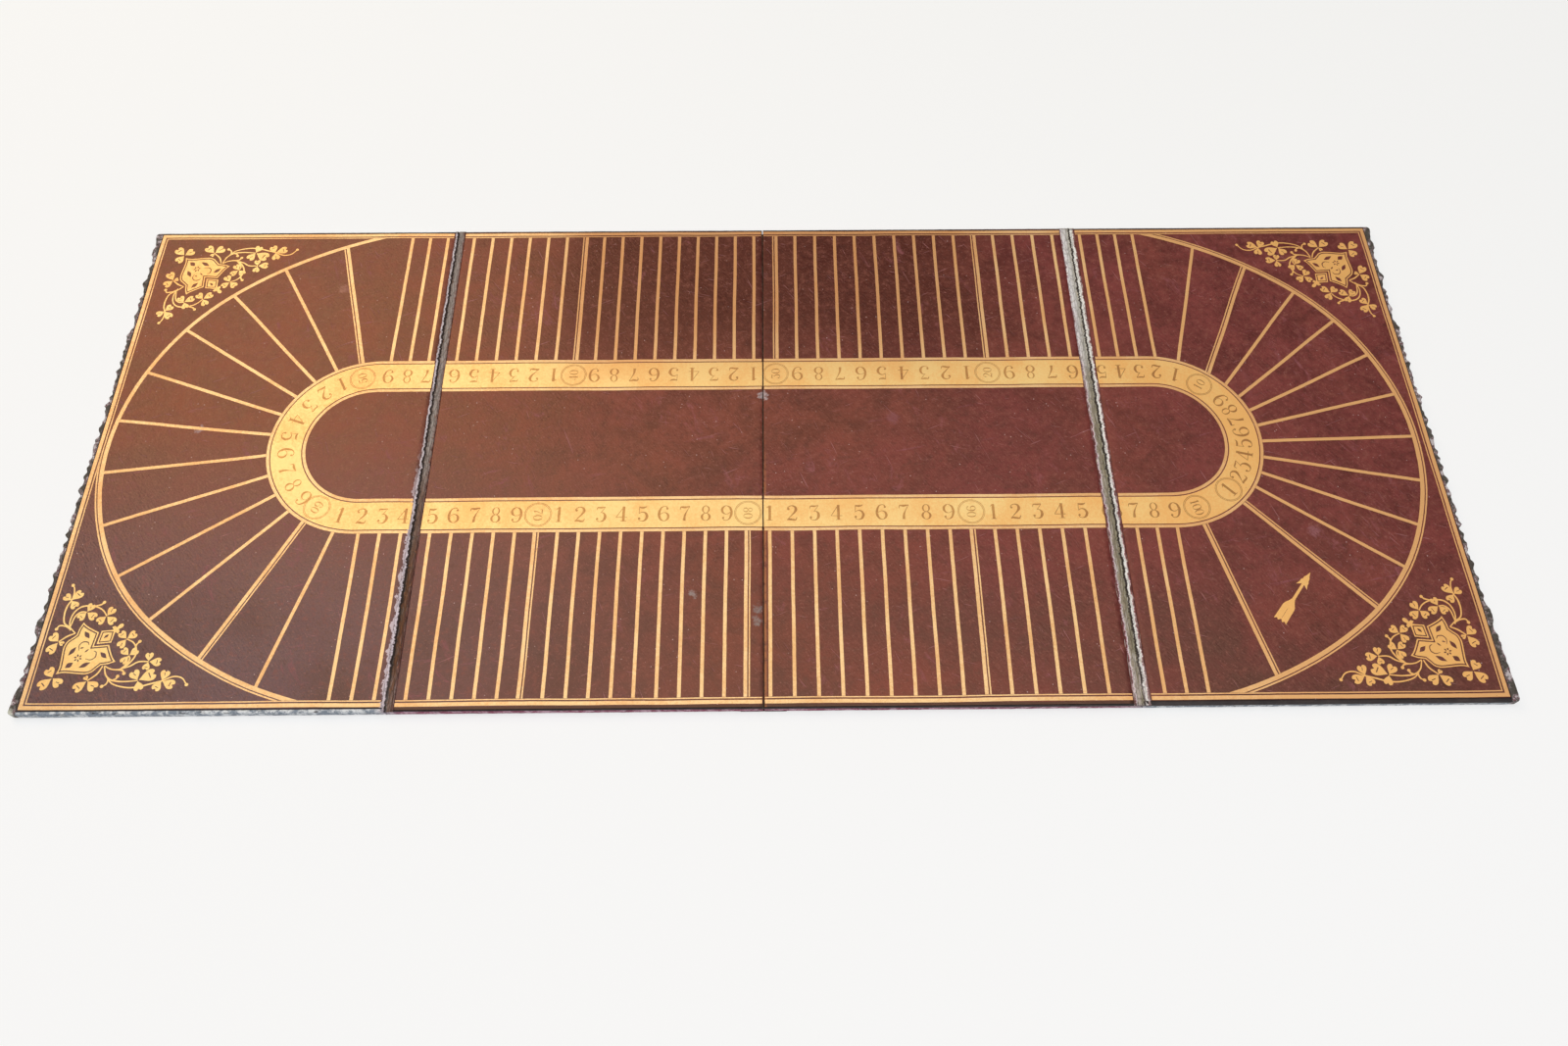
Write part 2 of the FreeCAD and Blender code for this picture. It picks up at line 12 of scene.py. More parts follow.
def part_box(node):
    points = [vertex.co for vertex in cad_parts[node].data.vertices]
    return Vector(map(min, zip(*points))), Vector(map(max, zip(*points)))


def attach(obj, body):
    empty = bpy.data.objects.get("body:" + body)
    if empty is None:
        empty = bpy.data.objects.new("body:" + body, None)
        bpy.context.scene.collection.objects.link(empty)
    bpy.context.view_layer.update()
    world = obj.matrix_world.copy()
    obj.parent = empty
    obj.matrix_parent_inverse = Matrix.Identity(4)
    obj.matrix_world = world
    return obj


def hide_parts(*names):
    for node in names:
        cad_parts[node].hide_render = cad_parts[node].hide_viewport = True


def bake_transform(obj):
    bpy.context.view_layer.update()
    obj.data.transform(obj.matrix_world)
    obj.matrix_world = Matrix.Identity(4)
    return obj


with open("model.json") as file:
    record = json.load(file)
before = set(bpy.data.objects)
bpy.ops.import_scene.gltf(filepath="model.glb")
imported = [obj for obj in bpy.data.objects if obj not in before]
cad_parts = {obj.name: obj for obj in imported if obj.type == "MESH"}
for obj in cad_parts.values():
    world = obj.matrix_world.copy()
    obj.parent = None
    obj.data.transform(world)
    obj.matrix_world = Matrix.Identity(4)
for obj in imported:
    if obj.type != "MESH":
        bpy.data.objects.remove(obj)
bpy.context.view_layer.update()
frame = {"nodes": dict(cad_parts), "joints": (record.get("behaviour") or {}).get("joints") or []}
noise.seed_set(7)

LEAVES = ("leaf_1", "leaf_2", "leaf_3", "leaf_4")
FACE_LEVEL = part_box("leaf_2_face_leather")[1].z
GILT_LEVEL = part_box("leaf_2_number_band")[1].z
CUT_LEVEL = FACE_LEVEL + 0.25 * (GILT_LEVEL - FACE_LEVEL)
COVER_BOX = {leaf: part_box(leaf + "_back_cover") for leaf in LEAVES}
FACE_BOX = {leaf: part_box(leaf + "_face_leather") for leaf in LEAVES}
JOINT_X = {joint["name"]: joint["pos_m"][0] for joint in frame["joints"]}
MM = 0.001


def smooth(points, sharp=(), steps=6):
    """Curve through the points, with a corner at each index named in sharp."""
    stops = sorted({0, len(points) - 1} | set(sharp))
    out = []
    for first, last in zip(stops, stops[1:]):
        part = [Vector(p) for p in points[first:last + 1]]
        part = [2 * part[0] - part[1]] + part + [2 * part[-1] - part[-2]]
        for a, b, c, d in zip(part, part[1:], part[2:], part[3:]):
            for step in range(steps):
                t = step / steps
                out.append(0.5 * (2 * b + (c - a) * t + (2 * a - 5 * b + 4 * c - d) * t * t
                                  + (3 * b - a - 3 * c + d) * t ** 3))
    out.append(Vector(points[-1]))
    return out


def across(way):
    """The direction a quarter turn to the left of another."""
    return Vector((-way.y, way.x))


THINNEST_STROKE = 0.01


def stroke(route, width=None, steps=6):
    """Outline of a band along a route of (x, y, width), or (x, y) with one width."""
    if width is not None:
        route = [(x, y, width) for x, y in route]
    line = smooth(route, steps=steps) if len(route) > 2 else [Vector(p) for p in route]
    left, right = [], []
    for number, place in enumerate(line):
        along = line[min(number + 1, len(line) - 1)] - line[max(number - 1, 0)]
        side = across(along.xy.normalized()) * max(place.z, THINNEST_STROKE) / 2
        left.append(place.xy + side)
        right.append(place.xy - side)
    return left + right[::-1]


def ellipse(x, y, rx, ry=None, count=20, turn=0.0):
    """Closed outline of a circle or ellipse."""
    ry = rx if ry is None else ry
    out = []
    for step in range(count):
        angle = 2 * math.pi * step / count
        out.append(Vector((x, y)) + turned(Vector((rx * math.cos(angle), ry * math.sin(angle))), turn))
    return out


def turned(point, degrees):
    """The point turned about the origin."""
    angle = math.radians(degrees)
    return Vector((point.x * math.cos(angle) - point.y * math.sin(angle),
                   point.x * math.sin(angle) + point.y * math.cos(angle)))


SHARPEST_CORNER = 0.35
NEARLY = 0.97


def inset(loop, distance):
    """The outline drawn in by a distance; where it would cross itself the extra points go."""
    if area(loop) < 0:
        loop = loop[::-1]
    out = []
    for number, here in enumerate(loop):
        before = (here - loop[number - 1]).normalized()
        after = (loop[(number + 1) % len(loop)] - here).normalized()
        normal = across(before) + across(after)
        size = max(normal.length_squared / 2, SHARPEST_CORNER)
        out.append(here + normal * (distance / size))
    least = NEARLY * abs(distance)
    sides = list(zip(loop, loop[1:] + loop[:1]))
    return untangled([p for p in out if min(from_side(p, a, b) for a, b in sides) >= least])


def untangled(loop):
    """The outline without the small loops in which it crosses itself."""
    count = len(loop)
    for i in range(count - 2):
        for j in range(i + 2, count - (i == 0)):
            crossing = intersect_line_line_2d(loop[i], loop[i + 1], loop[j], loop[(j + 1) % count])
            if crossing:
                inner = loop[i + 1:j + 1]
                if len(inner) > count / 2:
                    return untangled([crossing] + inner)
                return untangled(loop[:i + 1] + [crossing] + loop[j + 1:])
    return loop


def from_side(point, a, b):
    """Distance of a point from the line between two others."""
    along = b - a
    share = (point - a).dot(along) / max(along.length_squared, 1e-18)
    return (point - a - along * max(0.0, min(1.0, share))).length


def area(loop):
    """Area inside an outline, positive if it runs anticlockwise."""
    return sum(a.x * b.y - b.x * a.y for a, b in zip(loop, loop[1:] + loop[:1])) / 2


def resampled(loop, longest):
    """The outline with no piece longer than a length."""
    out = []
    for a, b in zip(loop, loop[1:] + loop[:1]):
        count = max(1, math.ceil((b - a).length / longest))
        out += [a.lerp(b, step / count) for step in range(count)]
    return out


def mirrored(half):
    """Closed outline of a half that starts and ends on the x axis."""
    return half + [Vector((p.x, -p.y)) for p in half[-2:0:-1]]


# How often the hand drifts in a metre, how far in metres, and where in the noise
DRIFTS = ((24, 0.00035, 3.1), (300, 0.00007, 8.7))


def wander(point):
    """Small drift of hand-laid gilding, smooth over a few centimetres."""
    slow, quick = (noise.noise_vector(Vector((point.x * often, point.y * often, place))).xy * far
                   for often, far, place in DRIFTS)
    return point + slow + quick


def ripple(x, y, z):
    """Smooth random number from -1 to 1 at a point."""
    return noise.noise(Vector((x, y, z)))


def new_object(name, verts, faces, materials, indices=None, smooth_shaded=True):
    """Object made of vertices and faces, put in the scene."""
    mesh = bpy.data.meshes.new(name)
    mesh.from_pydata([tuple(v) for v in verts], [], faces)
    for material in materials:
        mesh.materials.append(material)
    if indices:
        mesh.polygons.foreach_set("material_index", indices)
    mesh.polygons.foreach_set("use_smooth", [smooth_shaded] * len(mesh.polygons))
    mesh.update()
    made = bpy.data.objects.new(name, mesh)
    bpy.context.scene.collection.objects.link(made)
    return made


SAME_POINT = 2e-6
FILL_TOLERANCE = 1e-8


def relief(name, figures, cuts, materials):
    """Thin gilding on the playing face, with figures pressed down into it.

    A figure or cut is a list of outlines; what an odd number of them encloses is filled.
    """
    points, faces, owners = [], [], []
    for kind, groups in (("gilt", figures), ("cut", cuts)):
        for number, group in enumerate(groups):
            for loop in group:
                clean = [p for p, q in zip(loop, loop[1:] + loop[:1]) if (p - q).length > SAME_POINT]
                if len(clean) < 3:
                    continue
                if area(clean) < 0:
                    clean.reverse()
                faces.append(list(range(len(points), len(points) + len(clean))))
                points += [p.xy / MM for p in clean]
                owners.append((kind, number))
    made = delaunay_2d_cdt(points, [], faces, 1, FILL_TOLERANCE / MM)
    flat, triangles, origins = made[0], made[2], made[5]
    levels = []
    for origin in origins:
        inside = [owners[index] for index in origin]
        odd = {kind for kind, number in inside if inside.count((kind, number)) % 2}
        levels.append(None if "gilt" not in odd else CUT_LEVEL if "cut" in odd else GILT_LEVEL)
    at_edge = {}
    for number, triangle in enumerate(triangles):
        for a, b in zip(triangle, triangle[1:] + triangle[:1]):
            at_edge[(a, b)] = number
    verts, index_of, out, indices = [], {}, [], []

    def vertex(index, level):
        if (index, level) not in index_of:
            index_of[(index, level)] = len(verts)
            verts.append((flat[index].x * MM, flat[index].y * MM, level))
        return index_of[(index, level)]

    for number, triangle in enumerate(triangles):
        level = levels[number]
        if level is None:
            continue
        out.append([vertex(i, level) for i in triangle])
        indices.append(0 if level == GILT_LEVEL else 1)
        for a, b in zip(triangle, triangle[1:] + triangle[:1]):
            beside = at_edge.get((b, a))
            low = FACE_LEVEL if beside is None or levels[beside] is None else levels[beside]
            if low < level:
                out.append([vertex(b, level), vertex(a, level), vertex(a, low), vertex(b, low)])
                indices.append(0 if low == FACE_LEVEL else 1)
    return new_object(name, verts, out, materials, indices, smooth_shaded=False)


def grid_faces(rows, columns, start=0, closed=False):
    """Faces of a grid of vertices; a closed grid joins its last column to its first."""
    out = []
    for row in range(rows - 1):
        for column in range(columns if closed else columns - 1):
            after = (column + 1) % columns
            a, b = start + row * columns + column, start + row * columns + after
            out.append((a, b, b + columns, a + columns))
    return out


MICRON = 1e-6
TOP_TOLERANCE = 1e-5


def top_loops(node):
    """Outlines of the top of a flat CAD node."""
    mesh = frame["nodes"][node].data
    top = max(v.co.z for v in mesh.vertices)
    key = {v.index: (round(v.co.x / MICRON), round(v.co.y / MICRON)) for v in mesh.vertices}
    after = {}
    for polygon in mesh.polygons:
        corners = list(polygon.vertices)
        if min(mesh.vertices[i].co.z for i in corners) < top - TOP_TOLERANCE:
            continue
        for i, j in zip(corners, corners[1:] + corners[:1]):
            a, b = key[i], key[j]
            if a in after.get(b, ()):
                after[b].remove(a)
            else:
                after.setdefault(a, []).append(b)
    loops = []
    while any(after.values()):
        start = next(a for a, ends in after.items() if ends)
        loop, here = [], start
        while True:
            loop.append(Vector([value * MICRON for value in here]))
            here = after[here].pop()
            if here == start:
                break
        loops.append(loop)
    return loops


def bowl(x, y, rx, ry, thick, thin):
    """Bowl of a numeral, thick at its sides and thin above and below."""
    return [ellipse(x, y, rx, ry, 24), ellipse(x, y, rx - thick, ry - thin, 24)]


# Lines of the numerals in hundredths of their height: (x, y, width) all along, x from the middle.
# A line of one place is a dot, and has a radius for a width
NUMERAL_LINES = {
    1: (((2, 1, 15), (2, 99, 15)), ((-15, 2, 3.5), (19, 2, 3.5)), ((-16, 84, 2), (-7, 90, 5), (0, 98, 6))),
    2: (((-27, 74, 2), (-22, 88, 5), (-4, 98, 5), (16, 92, 11), (23, 73, 16), (13, 52, 11), (-8, 28, 5),
         (-28, 5, 3)),
        ((-20, 76, 7),),
        ((-28, 6, 7), (-12, 9, 12), (8, 5, 12), (22, 6, 8), (29, 24, 2))),
    3: (((-25, 76, 2), (-20, 93, 7), (0, 93, 10), (24, 97, 4)),
        ((24, 96, 3.5), (0, 60, 3.5)),
        ((-4, 60, 3), (10, 60, 5), (22, 48, 12), (25, 28, 16), (15, 8, 11), (-2, 1.5, 4), (-20, 8, 4),
         (-26, 22, 2)),
        ((-20, 19, 7),)),
    4: (((11, 2, 15), (11, 99, 15)), ((12, 99, 4), (-32, 28, 4)), ((-33, 28, 4), (32, 28, 4)),
        ((-5, 2, 3.5), (27, 2, 3.5))),
    5: (((-20, 98, 3.5), (-22, 50, 3.5)),
        ((-20, 93, 8), (-2, 90, 12), (14, 93, 8), (22, 100, 2)),
        ((-22, 51, 3), (-6, 61, 5), (14, 56, 10), (25, 34, 16), (16, 10, 12), (-2, 1.5, 4), (-19, 7, 4),
         (-26, 20, 2)),
        ((-20, 19, 7),)),
    6: (((24, 84, 3), (16, 95, 5), (2, 98.5, 4), (-17, 86, 9), (-27.5, 50, 15), (-20, 16, 12), (2, 2, 4),
         (20, 12, 10), (27, 30, 14), (20, 49, 10), (4, 57.5, 4), (-12, 53, 3), (-22, 40, 3)),
        ((20, 83, 6.5),)),
    7: (((-28, 74, 2), (-23, 92, 8), (0, 91, 13), (28, 97, 5)),
        ((28, 97, 3), (12, 66, 5), (0, 36, 11), (-3, 3, 16))),
}


def numeral(lines):
    """Groups of outlines of a numeral's lines, one high."""
    groups = []
    for line in lines:
        route = [[value / 100 for value in place] for place in line]
        groups.append([ellipse(*route[0]) if len(route) == 1 else stroke(route)])
    return groups


NUMERALS = {digit: numeral(lines) for digit, lines in NUMERAL_LINES.items()}
NUMERALS[0] = [bowl(0, 0.5, 0.34, 0.5, 0.14, 0.035)]
NUMERALS[8] = [bowl(0, 0.75, 0.23, 0.25, 0.09, 0.03), bowl(0, 0.26, 0.29, 0.26, 0.13, 0.03)]
NUMERALS[9] = [[[Vector((-p.x, 1 - p.y)) for p in loop] for loop in group] for group in NUMERALS[6]]
NUMERAL_HEIGHT = 0.0099
SMALL_HEIGHT = 0.0053
SMALL_STEP = {2: 0.0040, 3: 0.00344}
CIRCLE_RADIUS = 0.0079
CIRCLE_LINE = 0.00032
CIRCLES_APART = 2.2 * CIRCLE_LINE


def placed(groups, centre, up, height):
    """Groups of outlines of height one, set with their middle at a place."""
    right = -across(up)
    return [[[centre + right * (p.x * height) + up * ((p.y - 0.5) * height) for p in loop]
             for loop in group] for group in groups]


def label(number, centre, inwards):
    """Cut outlines of one number on the band: a numeral, or a circle round a ten."""
    along = -across(inwards)
    if number != 1 and number % 10:
        return placed(NUMERALS[number % 10], centre, inwards, NUMERAL_HEIGHT)
    groups = [[ellipse(centre.x, centre.y, radius, count=56),
               ellipse(centre.x, centre.y, radius - CIRCLE_LINE, count=56)]
              for radius in (CIRCLE_RADIUS, CIRCLE_RADIUS - CIRCLES_APART)]
    if number == 1:
        return groups + placed(NUMERALS[1], centre, inwards, NUMERAL_HEIGHT)
    digits = [int(digit) for digit in str(number)]
    step = SMALL_STEP[len(digits)]
    for place, digit in enumerate(digits):
        shift = (place - (len(digits) - 1) / 2) * step
        groups += placed(NUMERALS[digit], centre - inwards * shift, along, SMALL_HEIGHT)
    return groups


# The band's middle line runs round two points at the height of its middle
BAND_LOW, BAND_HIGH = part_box("leaf_2_number_band")
BAND_MIDDLE_Y = (BAND_LOW.y + BAND_HIGH.y) / 2
BAND_OUTER = (BAND_HIGH.y - BAND_LOW.y) / 2
BAND_INNER = min(abs(p.y - BAND_MIDDLE_Y) for loop in top_loops("leaf_2_number_band") for p in loop)
BAND_RADIUS = (BAND_OUTER + BAND_INNER) / 2
BAND_END_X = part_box("leaf_4_number_band")[1].x - BAND_OUTER


def from_band_line(point):
    """(distance from the band's central line, direction outwards) of a point."""
    nearest = Vector((max(-BAND_END_X, min(BAND_END_X, point.x)), BAND_MIDDLE_Y))
    away = point - nearest
    return away.length, away.normalized()


def lap(point):
    """How far round the track a point lies, anticlockwise from the right end's middle."""
    quarter = BAND_RADIUS * math.pi / 2
    x, y = point.x, point.y - BAND_MIDDLE_Y
    if x > BAND_END_X:
        return BAND_RADIUS * math.atan2(y, x - BAND_END_X) % (4 * BAND_END_X + 4 * quarter)
    if x < -BAND_END_X:
        turn = math.atan2(y, x + BAND_END_X) % (2 * math.pi)
        return quarter + 2 * BAND_END_X + BAND_RADIUS * (turn - math.pi / 2)
    if y > 0:
        return quarter + BAND_END_X - x
    return 3 * quarter + 2 * BAND_END_X + x + BAND_END_X


SHORTEST_LINE = 0.03
FOOT = 0.002
DOUBLE_LINE = 0.0035


def line_ends():
    """Where each numbered line starts at the band, in order round the track."""
    ends = []
    for leaf in LEAVES:
        for loop in top_loops(leaf + "_track_lines"):
            reach = [from_band_line(p)[0] for p in loop]
            if max(reach) - min(reach) < SHORTEST_LINE:
                continue
            foot = [p for p, r in zip(loop, reach) if r < min(reach) + FOOT]
            ends.append(sum(foot, Vector((0, 0))) / len(foot))
    ends.sort(key=lap)
    merged = []
    for end in ends:
        if merged and (end - merged[-1]).length < DOUBLE_LINE:
            merged[-1] = (merged[-1] + end) / 2
        else:
            merged.append(end)
    return merged


# The first number's place round the right end, and the even spacing of the next ones there
START_TURN = -47.0
START_REACH = 0.06
RIGHT_FIRST_TURN = -33.5
RIGHT_TURN_STEP = 9.6
# The right joint's strip covers the middle of this number, so its halves show on both sides
SPLIT_NUMBER = 96
HALVES_APART = (-0.0024, 0.0022)


def numbers():
    """Number, place and inward direction of every label on the band."""
    ends = line_ends()
    start = Vector((BAND_END_X, BAND_MIDDLE_Y)) + turned(Vector((START_REACH, 0)), START_TURN)
    first = min(range(len(ends)), key=lambda i: (ends[i] - start).length)
    ends = ends[first:] + ends[:first]
    order = [n for n in range(1, 101) if n != SPLIT_NUMBER]
    out = []
    for number, end in zip(order, ends):
        outwards = from_band_line(end)[1]
        if 2 <= number <= 9:
            outwards = turned(Vector((1, 0)), RIGHT_FIRST_TURN + RIGHT_TURN_STEP * (number - 2))
        base = Vector((max(-BAND_END_X, min(BAND_END_X, end.x)), BAND_MIDDLE_Y))
        out.append((number, base + outwards * BAND_RADIUS, -outwards))
    for shift in HALVES_APART:
        place = Vector((JOINT_X["fold_right"] + shift, BAND_MIDDLE_Y - BAND_RADIUS))
        out.append((SPLIT_NUMBER, place, Vector((0, 1))))
    return out


# Each corner's ornament, placed one by one: its shift in mm from the frame's corner
ORNAMENT_SHIFTS = {
    ("leaf_1", "near"): (-0.8, -1.1),
    ("leaf_1", "far"): (3.2, -1.6),
    ("leaf_4", "near"): (1.5, -4.1),
    ("leaf_4", "far"): (-0.5, -1.1),
}
# Half outlines in mm, along and across the ornament's diagonal from its tip
TIP = Vector((15.6, 21.1))
CARTOUCHE = ((0, 0), (2.9, 1.9), (5.5, 4.8), (8.0, 7.9), (10.8, 11.0), (13.9, 12.6), (17.0, 12.5),
             (19.5, 12.4), (22.6, 14.7), (26.1, 16.3), (26.2, 13.9), (26.8, 11.2), (27.9, 7.7), (28.8, 5.2),
             (22.6, 0))
CARTOUCHE_SHARP = (0, 7, 9, 13, 14)
FINIAL = ((24.3, 0), (30.3, 4.9), (33.0, 2.6), (35.2, 0.9), (35.5, 2.8), (37.0, 2.3), (37.3, 0.8),
          (39.2, 1.2), (40.4, 0.8), (40.8, 0))
FINIAL_SHARP = (0, 1, 3, 4, 5, 6, 9)
# Place and width along the curls beside the star
CURL = ((15.6, 3.4, 0.25), (17.2, 5.8, 0.5), (19.8, 6.2, 0.6), (21.6, 4.2, 0.55), (21.2, 2.4, 0.3))
FINIAL_HEART = ((24.3, 0), (30.3, 4.9), (33.0, 2.6), (35.6, 0))
# Place in mm from the corner, turn, and the lengths of the first, middle and last leaflet
CLOVERS = (
    (14.4, 19.0, 223, 6.9, 8.6, 6.9),
    (11.9, 39.7, 237, 6.8, 8.0, 3.4),
    (12.2, 64.3, 48, 6.0, 7.4, 5.6),
    (22.6, 57.2, -33, 5.8, 7.0, 5.6),
    (34.0, 54.7, -38, 6.0, 7.0, 6.0),
    (48.3, 41.1, 138, 6.0, 6.2, 6.0),
    (51.9, 31.5, 139, 5.5, 6.0, 5.5),
    (63.3, 27.9, -3, 5.0, 7.2, 5.4),
    (60.1, 17.2, 27, 6.2, 10.0, 6.8),
    (72.9, 16.8, -21, 6.2, 8.0, 6.4),
    (33.3, 17.2, 222, 3.2, 8.2, 7.4),
)
LEAFLET_SPREAD = 98
LEAFLET_SIZE = 0.95
MIDDLE_NARROWER = 0.84
LEAFLET = ((0.06, 0), (0.2, 0.1), (0.42, 0.29), (0.66, 0.42), (0.89, 0.38), (1.0, 0.18), (0.84, 0))
SLITS = {-1: ((0.68, -0.17), (0.66, 0.17)), 0: ((0.68, -0.17), (0.66, 0.17)), 1: ((0.5, -0.04), (0.8, 0.06))}
SLIT_WIDTH = 0.065
STEM_WIDTH, STEM_TAPER = 0.95, 0.3
BALL_RADIUS = 0.95
STEMS = (
    ((19.6, 44.7), (15.6, 48.2), (12.0, 50.8), (10.6, 56), (10.9, 61), (12.2, 64.3), (12.6, 68), (11.9, 71.5),
     (10.6, 73.5)),
    ((16.4, 46.3), (14.8, 51.5), (15.6, 56.8), (18.6, 60.2), (23.2, 61.0), (28.0, 60.0), (31.6, 57.8),
     (34.0, 54.7)),
    ((15.8, 48.4), (16.8, 54.5), (19.4, 57.2), (22.6, 57.2)),
    ((16.6, 46.9), (13.3, 48.8), (9.9, 49.2), (8.7, 47.2)),
    ((19.6, 44.7), (15.6, 42.8), (11.9, 39.7)),
    ((40.3, 25.6), (44.5, 23.7), (49.2, 23.7), (53.0, 26.8), (55.4, 31.6), (54.6, 36.0), (52.2, 39.2),
     (48.3, 41.1)),
    ((49.2, 23.7), (52.1, 27), (52.8, 29.5), (51.9, 31.5)),
    ((49.2, 23.7), (54.0, 25.4), (57.9, 27.8), (63.3, 27.9)),
    ((46.9, 23.3), (50.4, 23.0), (51.8, 21.2)),
    ((40.4, 25.2), (42.4, 20.3), (46.3, 17.4), (53.0, 16.6), (60.1, 17.2)),
    ((42.4, 20.3), (46.7, 15.6), (53.9, 13.4), (60.6, 13.4), (67.6, 15.3), (72.9, 16.8), (78.6, 19.2),
     (83.4, 18.3), (86.6, 14.6)),
    ((42.4, 20.3), (44.2, 17.8), (43.7, 15.2), (41.8, 14.0)),
    ((39.4, 25.6), (37.6, 21.2), (33.3, 17.2)),
    ((26.2, 60.8), (29.2, 61.6), (30.6, 63.0)),
    ((54.6, 33.6), (54.4, 37.4), (55.8, 39.6)),
    ((46.3, 17.4), (48.2, 18.2), (48.8, 19.6)),
)
BALLS = ((10.6, 73.5), (30.6, 63.0), (8.7, 47.2), (55.8, 39.6), (51.8, 21.2), (48.8, 19.6), (86.6, 14.6),
         (41.8, 14.0))


def on_diagonal(points):
    """Points along and across the ornament's diagonal, as x and y from the frame's corner."""
    half = math.sqrt(0.5)
    return [TIP + Vector(((a + b) * half, (a - b) * half)) for a, b in points]


def both_halves(outline, sharp):
    """Smooth outline of a figure that is the same on both sides of the diagonal."""
    return on_diagonal(mirrored(smooth(outline, sharp)))


def lens(a, b, length, width, turn):
    """Small pointed leaf about a point of the diagonal's own measure."""
    loop = mirrored(smooth(((-length / 2, 0), (0, width / 2), (length / 2, 0))))
    return on_diagonal([Vector((a, b)) + turned(p, turn) for p in loop])


STAR, STAR_REACH = Vector((13.0, 0.1)), 1.5
BODY_LINE, HEART_LINE = (0.7, 1.4), (0.7, 1.3)


def ornament_figures():
    """Outlines of the whole ornament, in mm inwards from the corner of the frame."""
    body = both_halves(CARTOUCHE, CARTOUCHE_SHARP)
    finial = both_halves(FINIAL, FINIAL_SHARP)
    heart = both_halves(FINIAL_HEART, (0, 1, 3))
    star = [lens(*(STAR + turned(Vector((STAR_REACH, 0)), turn)), 1.8, 0.95, turn)
            for turn in range(0, 360, 60)]
    leaves = [lens(7.5, 0.4, 4.8, 3.0, 5), lens(12.9, -5.6, 6.0, 2.4, -14), lens(13.4, 6.2, 6.6, 2.4, 16),
              lens(18.6, -0.3, 3.0, 0.9, 0), lens(17.6, -3.6, 2.2, 0.9, 30)]
    diamonds = [lens(23.5, side * 8.4, 5.6, 2.4, side * 86) for side in (-1, 1)]
    curls = [on_diagonal(stroke([(a, side * b, width) for a, b, width in CURL])) for side in (-1, 1)]
    figures = [[body, *(inset(body, distance) for distance in BODY_LINE), *star, *leaves, *diamonds, *curls],
               [finial, *(inset(heart, distance) for distance in HEART_LINE), lens(30.4, -0.3, 3.4, 1.4, 0)]]
    for x, y, turn, *lengths in CLOVERS:
        for step, length in zip((-1, 0, 1), lengths):
            heading = turn + step * LEAFLET_SPREAD
            narrow = 1.0 if step else MIDDLE_NARROWER
            loop = mirrored([Vector((p.x, p.y * narrow)) for p in smooth(LEAFLET)])
            figures.append([[Vector((x, y)) + turned(p * (length * LEAFLET_SIZE), heading) for p in each]
                            for each in (loop, stroke(SLITS[step], SLIT_WIDTH))])
    for route in STEMS:
        count = len(route) - 1
        figures.append([stroke([(x, y, STEM_WIDTH - STEM_TAPER * abs(2 * number / count - 1))
                                for number, (x, y) in enumerate(route)])])
    figures += [[ellipse(x, y, BALL_RADIUS, count=12)] for x, y in BALLS]
    return figures


def ornament(leaf, side):
    """One corner's gold ornament, the near left one's drawing mirrored as the corner needs."""
    low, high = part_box(leaf + "_frame_lines")
    x_way, y_way = (1 if leaf == "leaf_1" else -1), (1 if side == "near" else -1)
    corner = Vector((low.x if x_way > 0 else high.x, low.y if y_way > 0 else high.y))
    shift = Vector(ORNAMENT_SHIFTS[(leaf, side)])
    figures = [[[corner + Vector((x_way * (p.x + shift.x), y_way * (p.y + shift.y))) * MM for p in loop]
                for loop in group] for group in ornament_figures()]
    node = f"{leaf}_{side}_corner_ornament"
    made = relief(f"{leaf}_{side}_corner_gilding", figures, [], [gold, pressed_gold_and_shade])
    dress(made, leaf, "gilding", node)


ARROW_TURN = 51.5
ARROW_SLIT = (((2.5, 0), (9.5, 0)), 0.18)
ARROW_HALF = ((37.3, 0.0), (34.2, 0.95), (33.2, 1.55), (31.4, 1.75), (30.4, 2.35), (28.9, 2.4), (26.2, 3.3),
              (27.6, 1.5), (28.2, 0.75), (22.0, 0.8), (16.6, 0.85), (14.6, 1.6), (12.0, 3.0), (10.4, 3.4),
              (5.0, 3.5), (-0.1, 3.6), (1.0, 2.2), (0.0, 1.3), (1.6, 0.0))


def arrow():
    """The gold arrow before the start, set in the middle of its CAD node."""
    low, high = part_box("start_arrow")
    loops = [[turned(p * MM, ARROW_TURN) for p in loop]
             for loop in (mirrored([Vector(p) for p in ARROW_HALF]), stroke(*ARROW_SLIT))]
    xs, ys = [p.x for p in loops[0]], [p.y for p in loops[0]]
    shift = ((low + high) / 2).xy - Vector((min(xs) + max(xs), min(ys) + max(ys))) / 2
    loops = [[p + shift for p in loop] for loop in loops]
    made = relief("start_arrow_gilding", [loops], [], [gold, pressed_gold_and_shade])
    dress(made, "leaf_4", "gilding", "start_arrow")


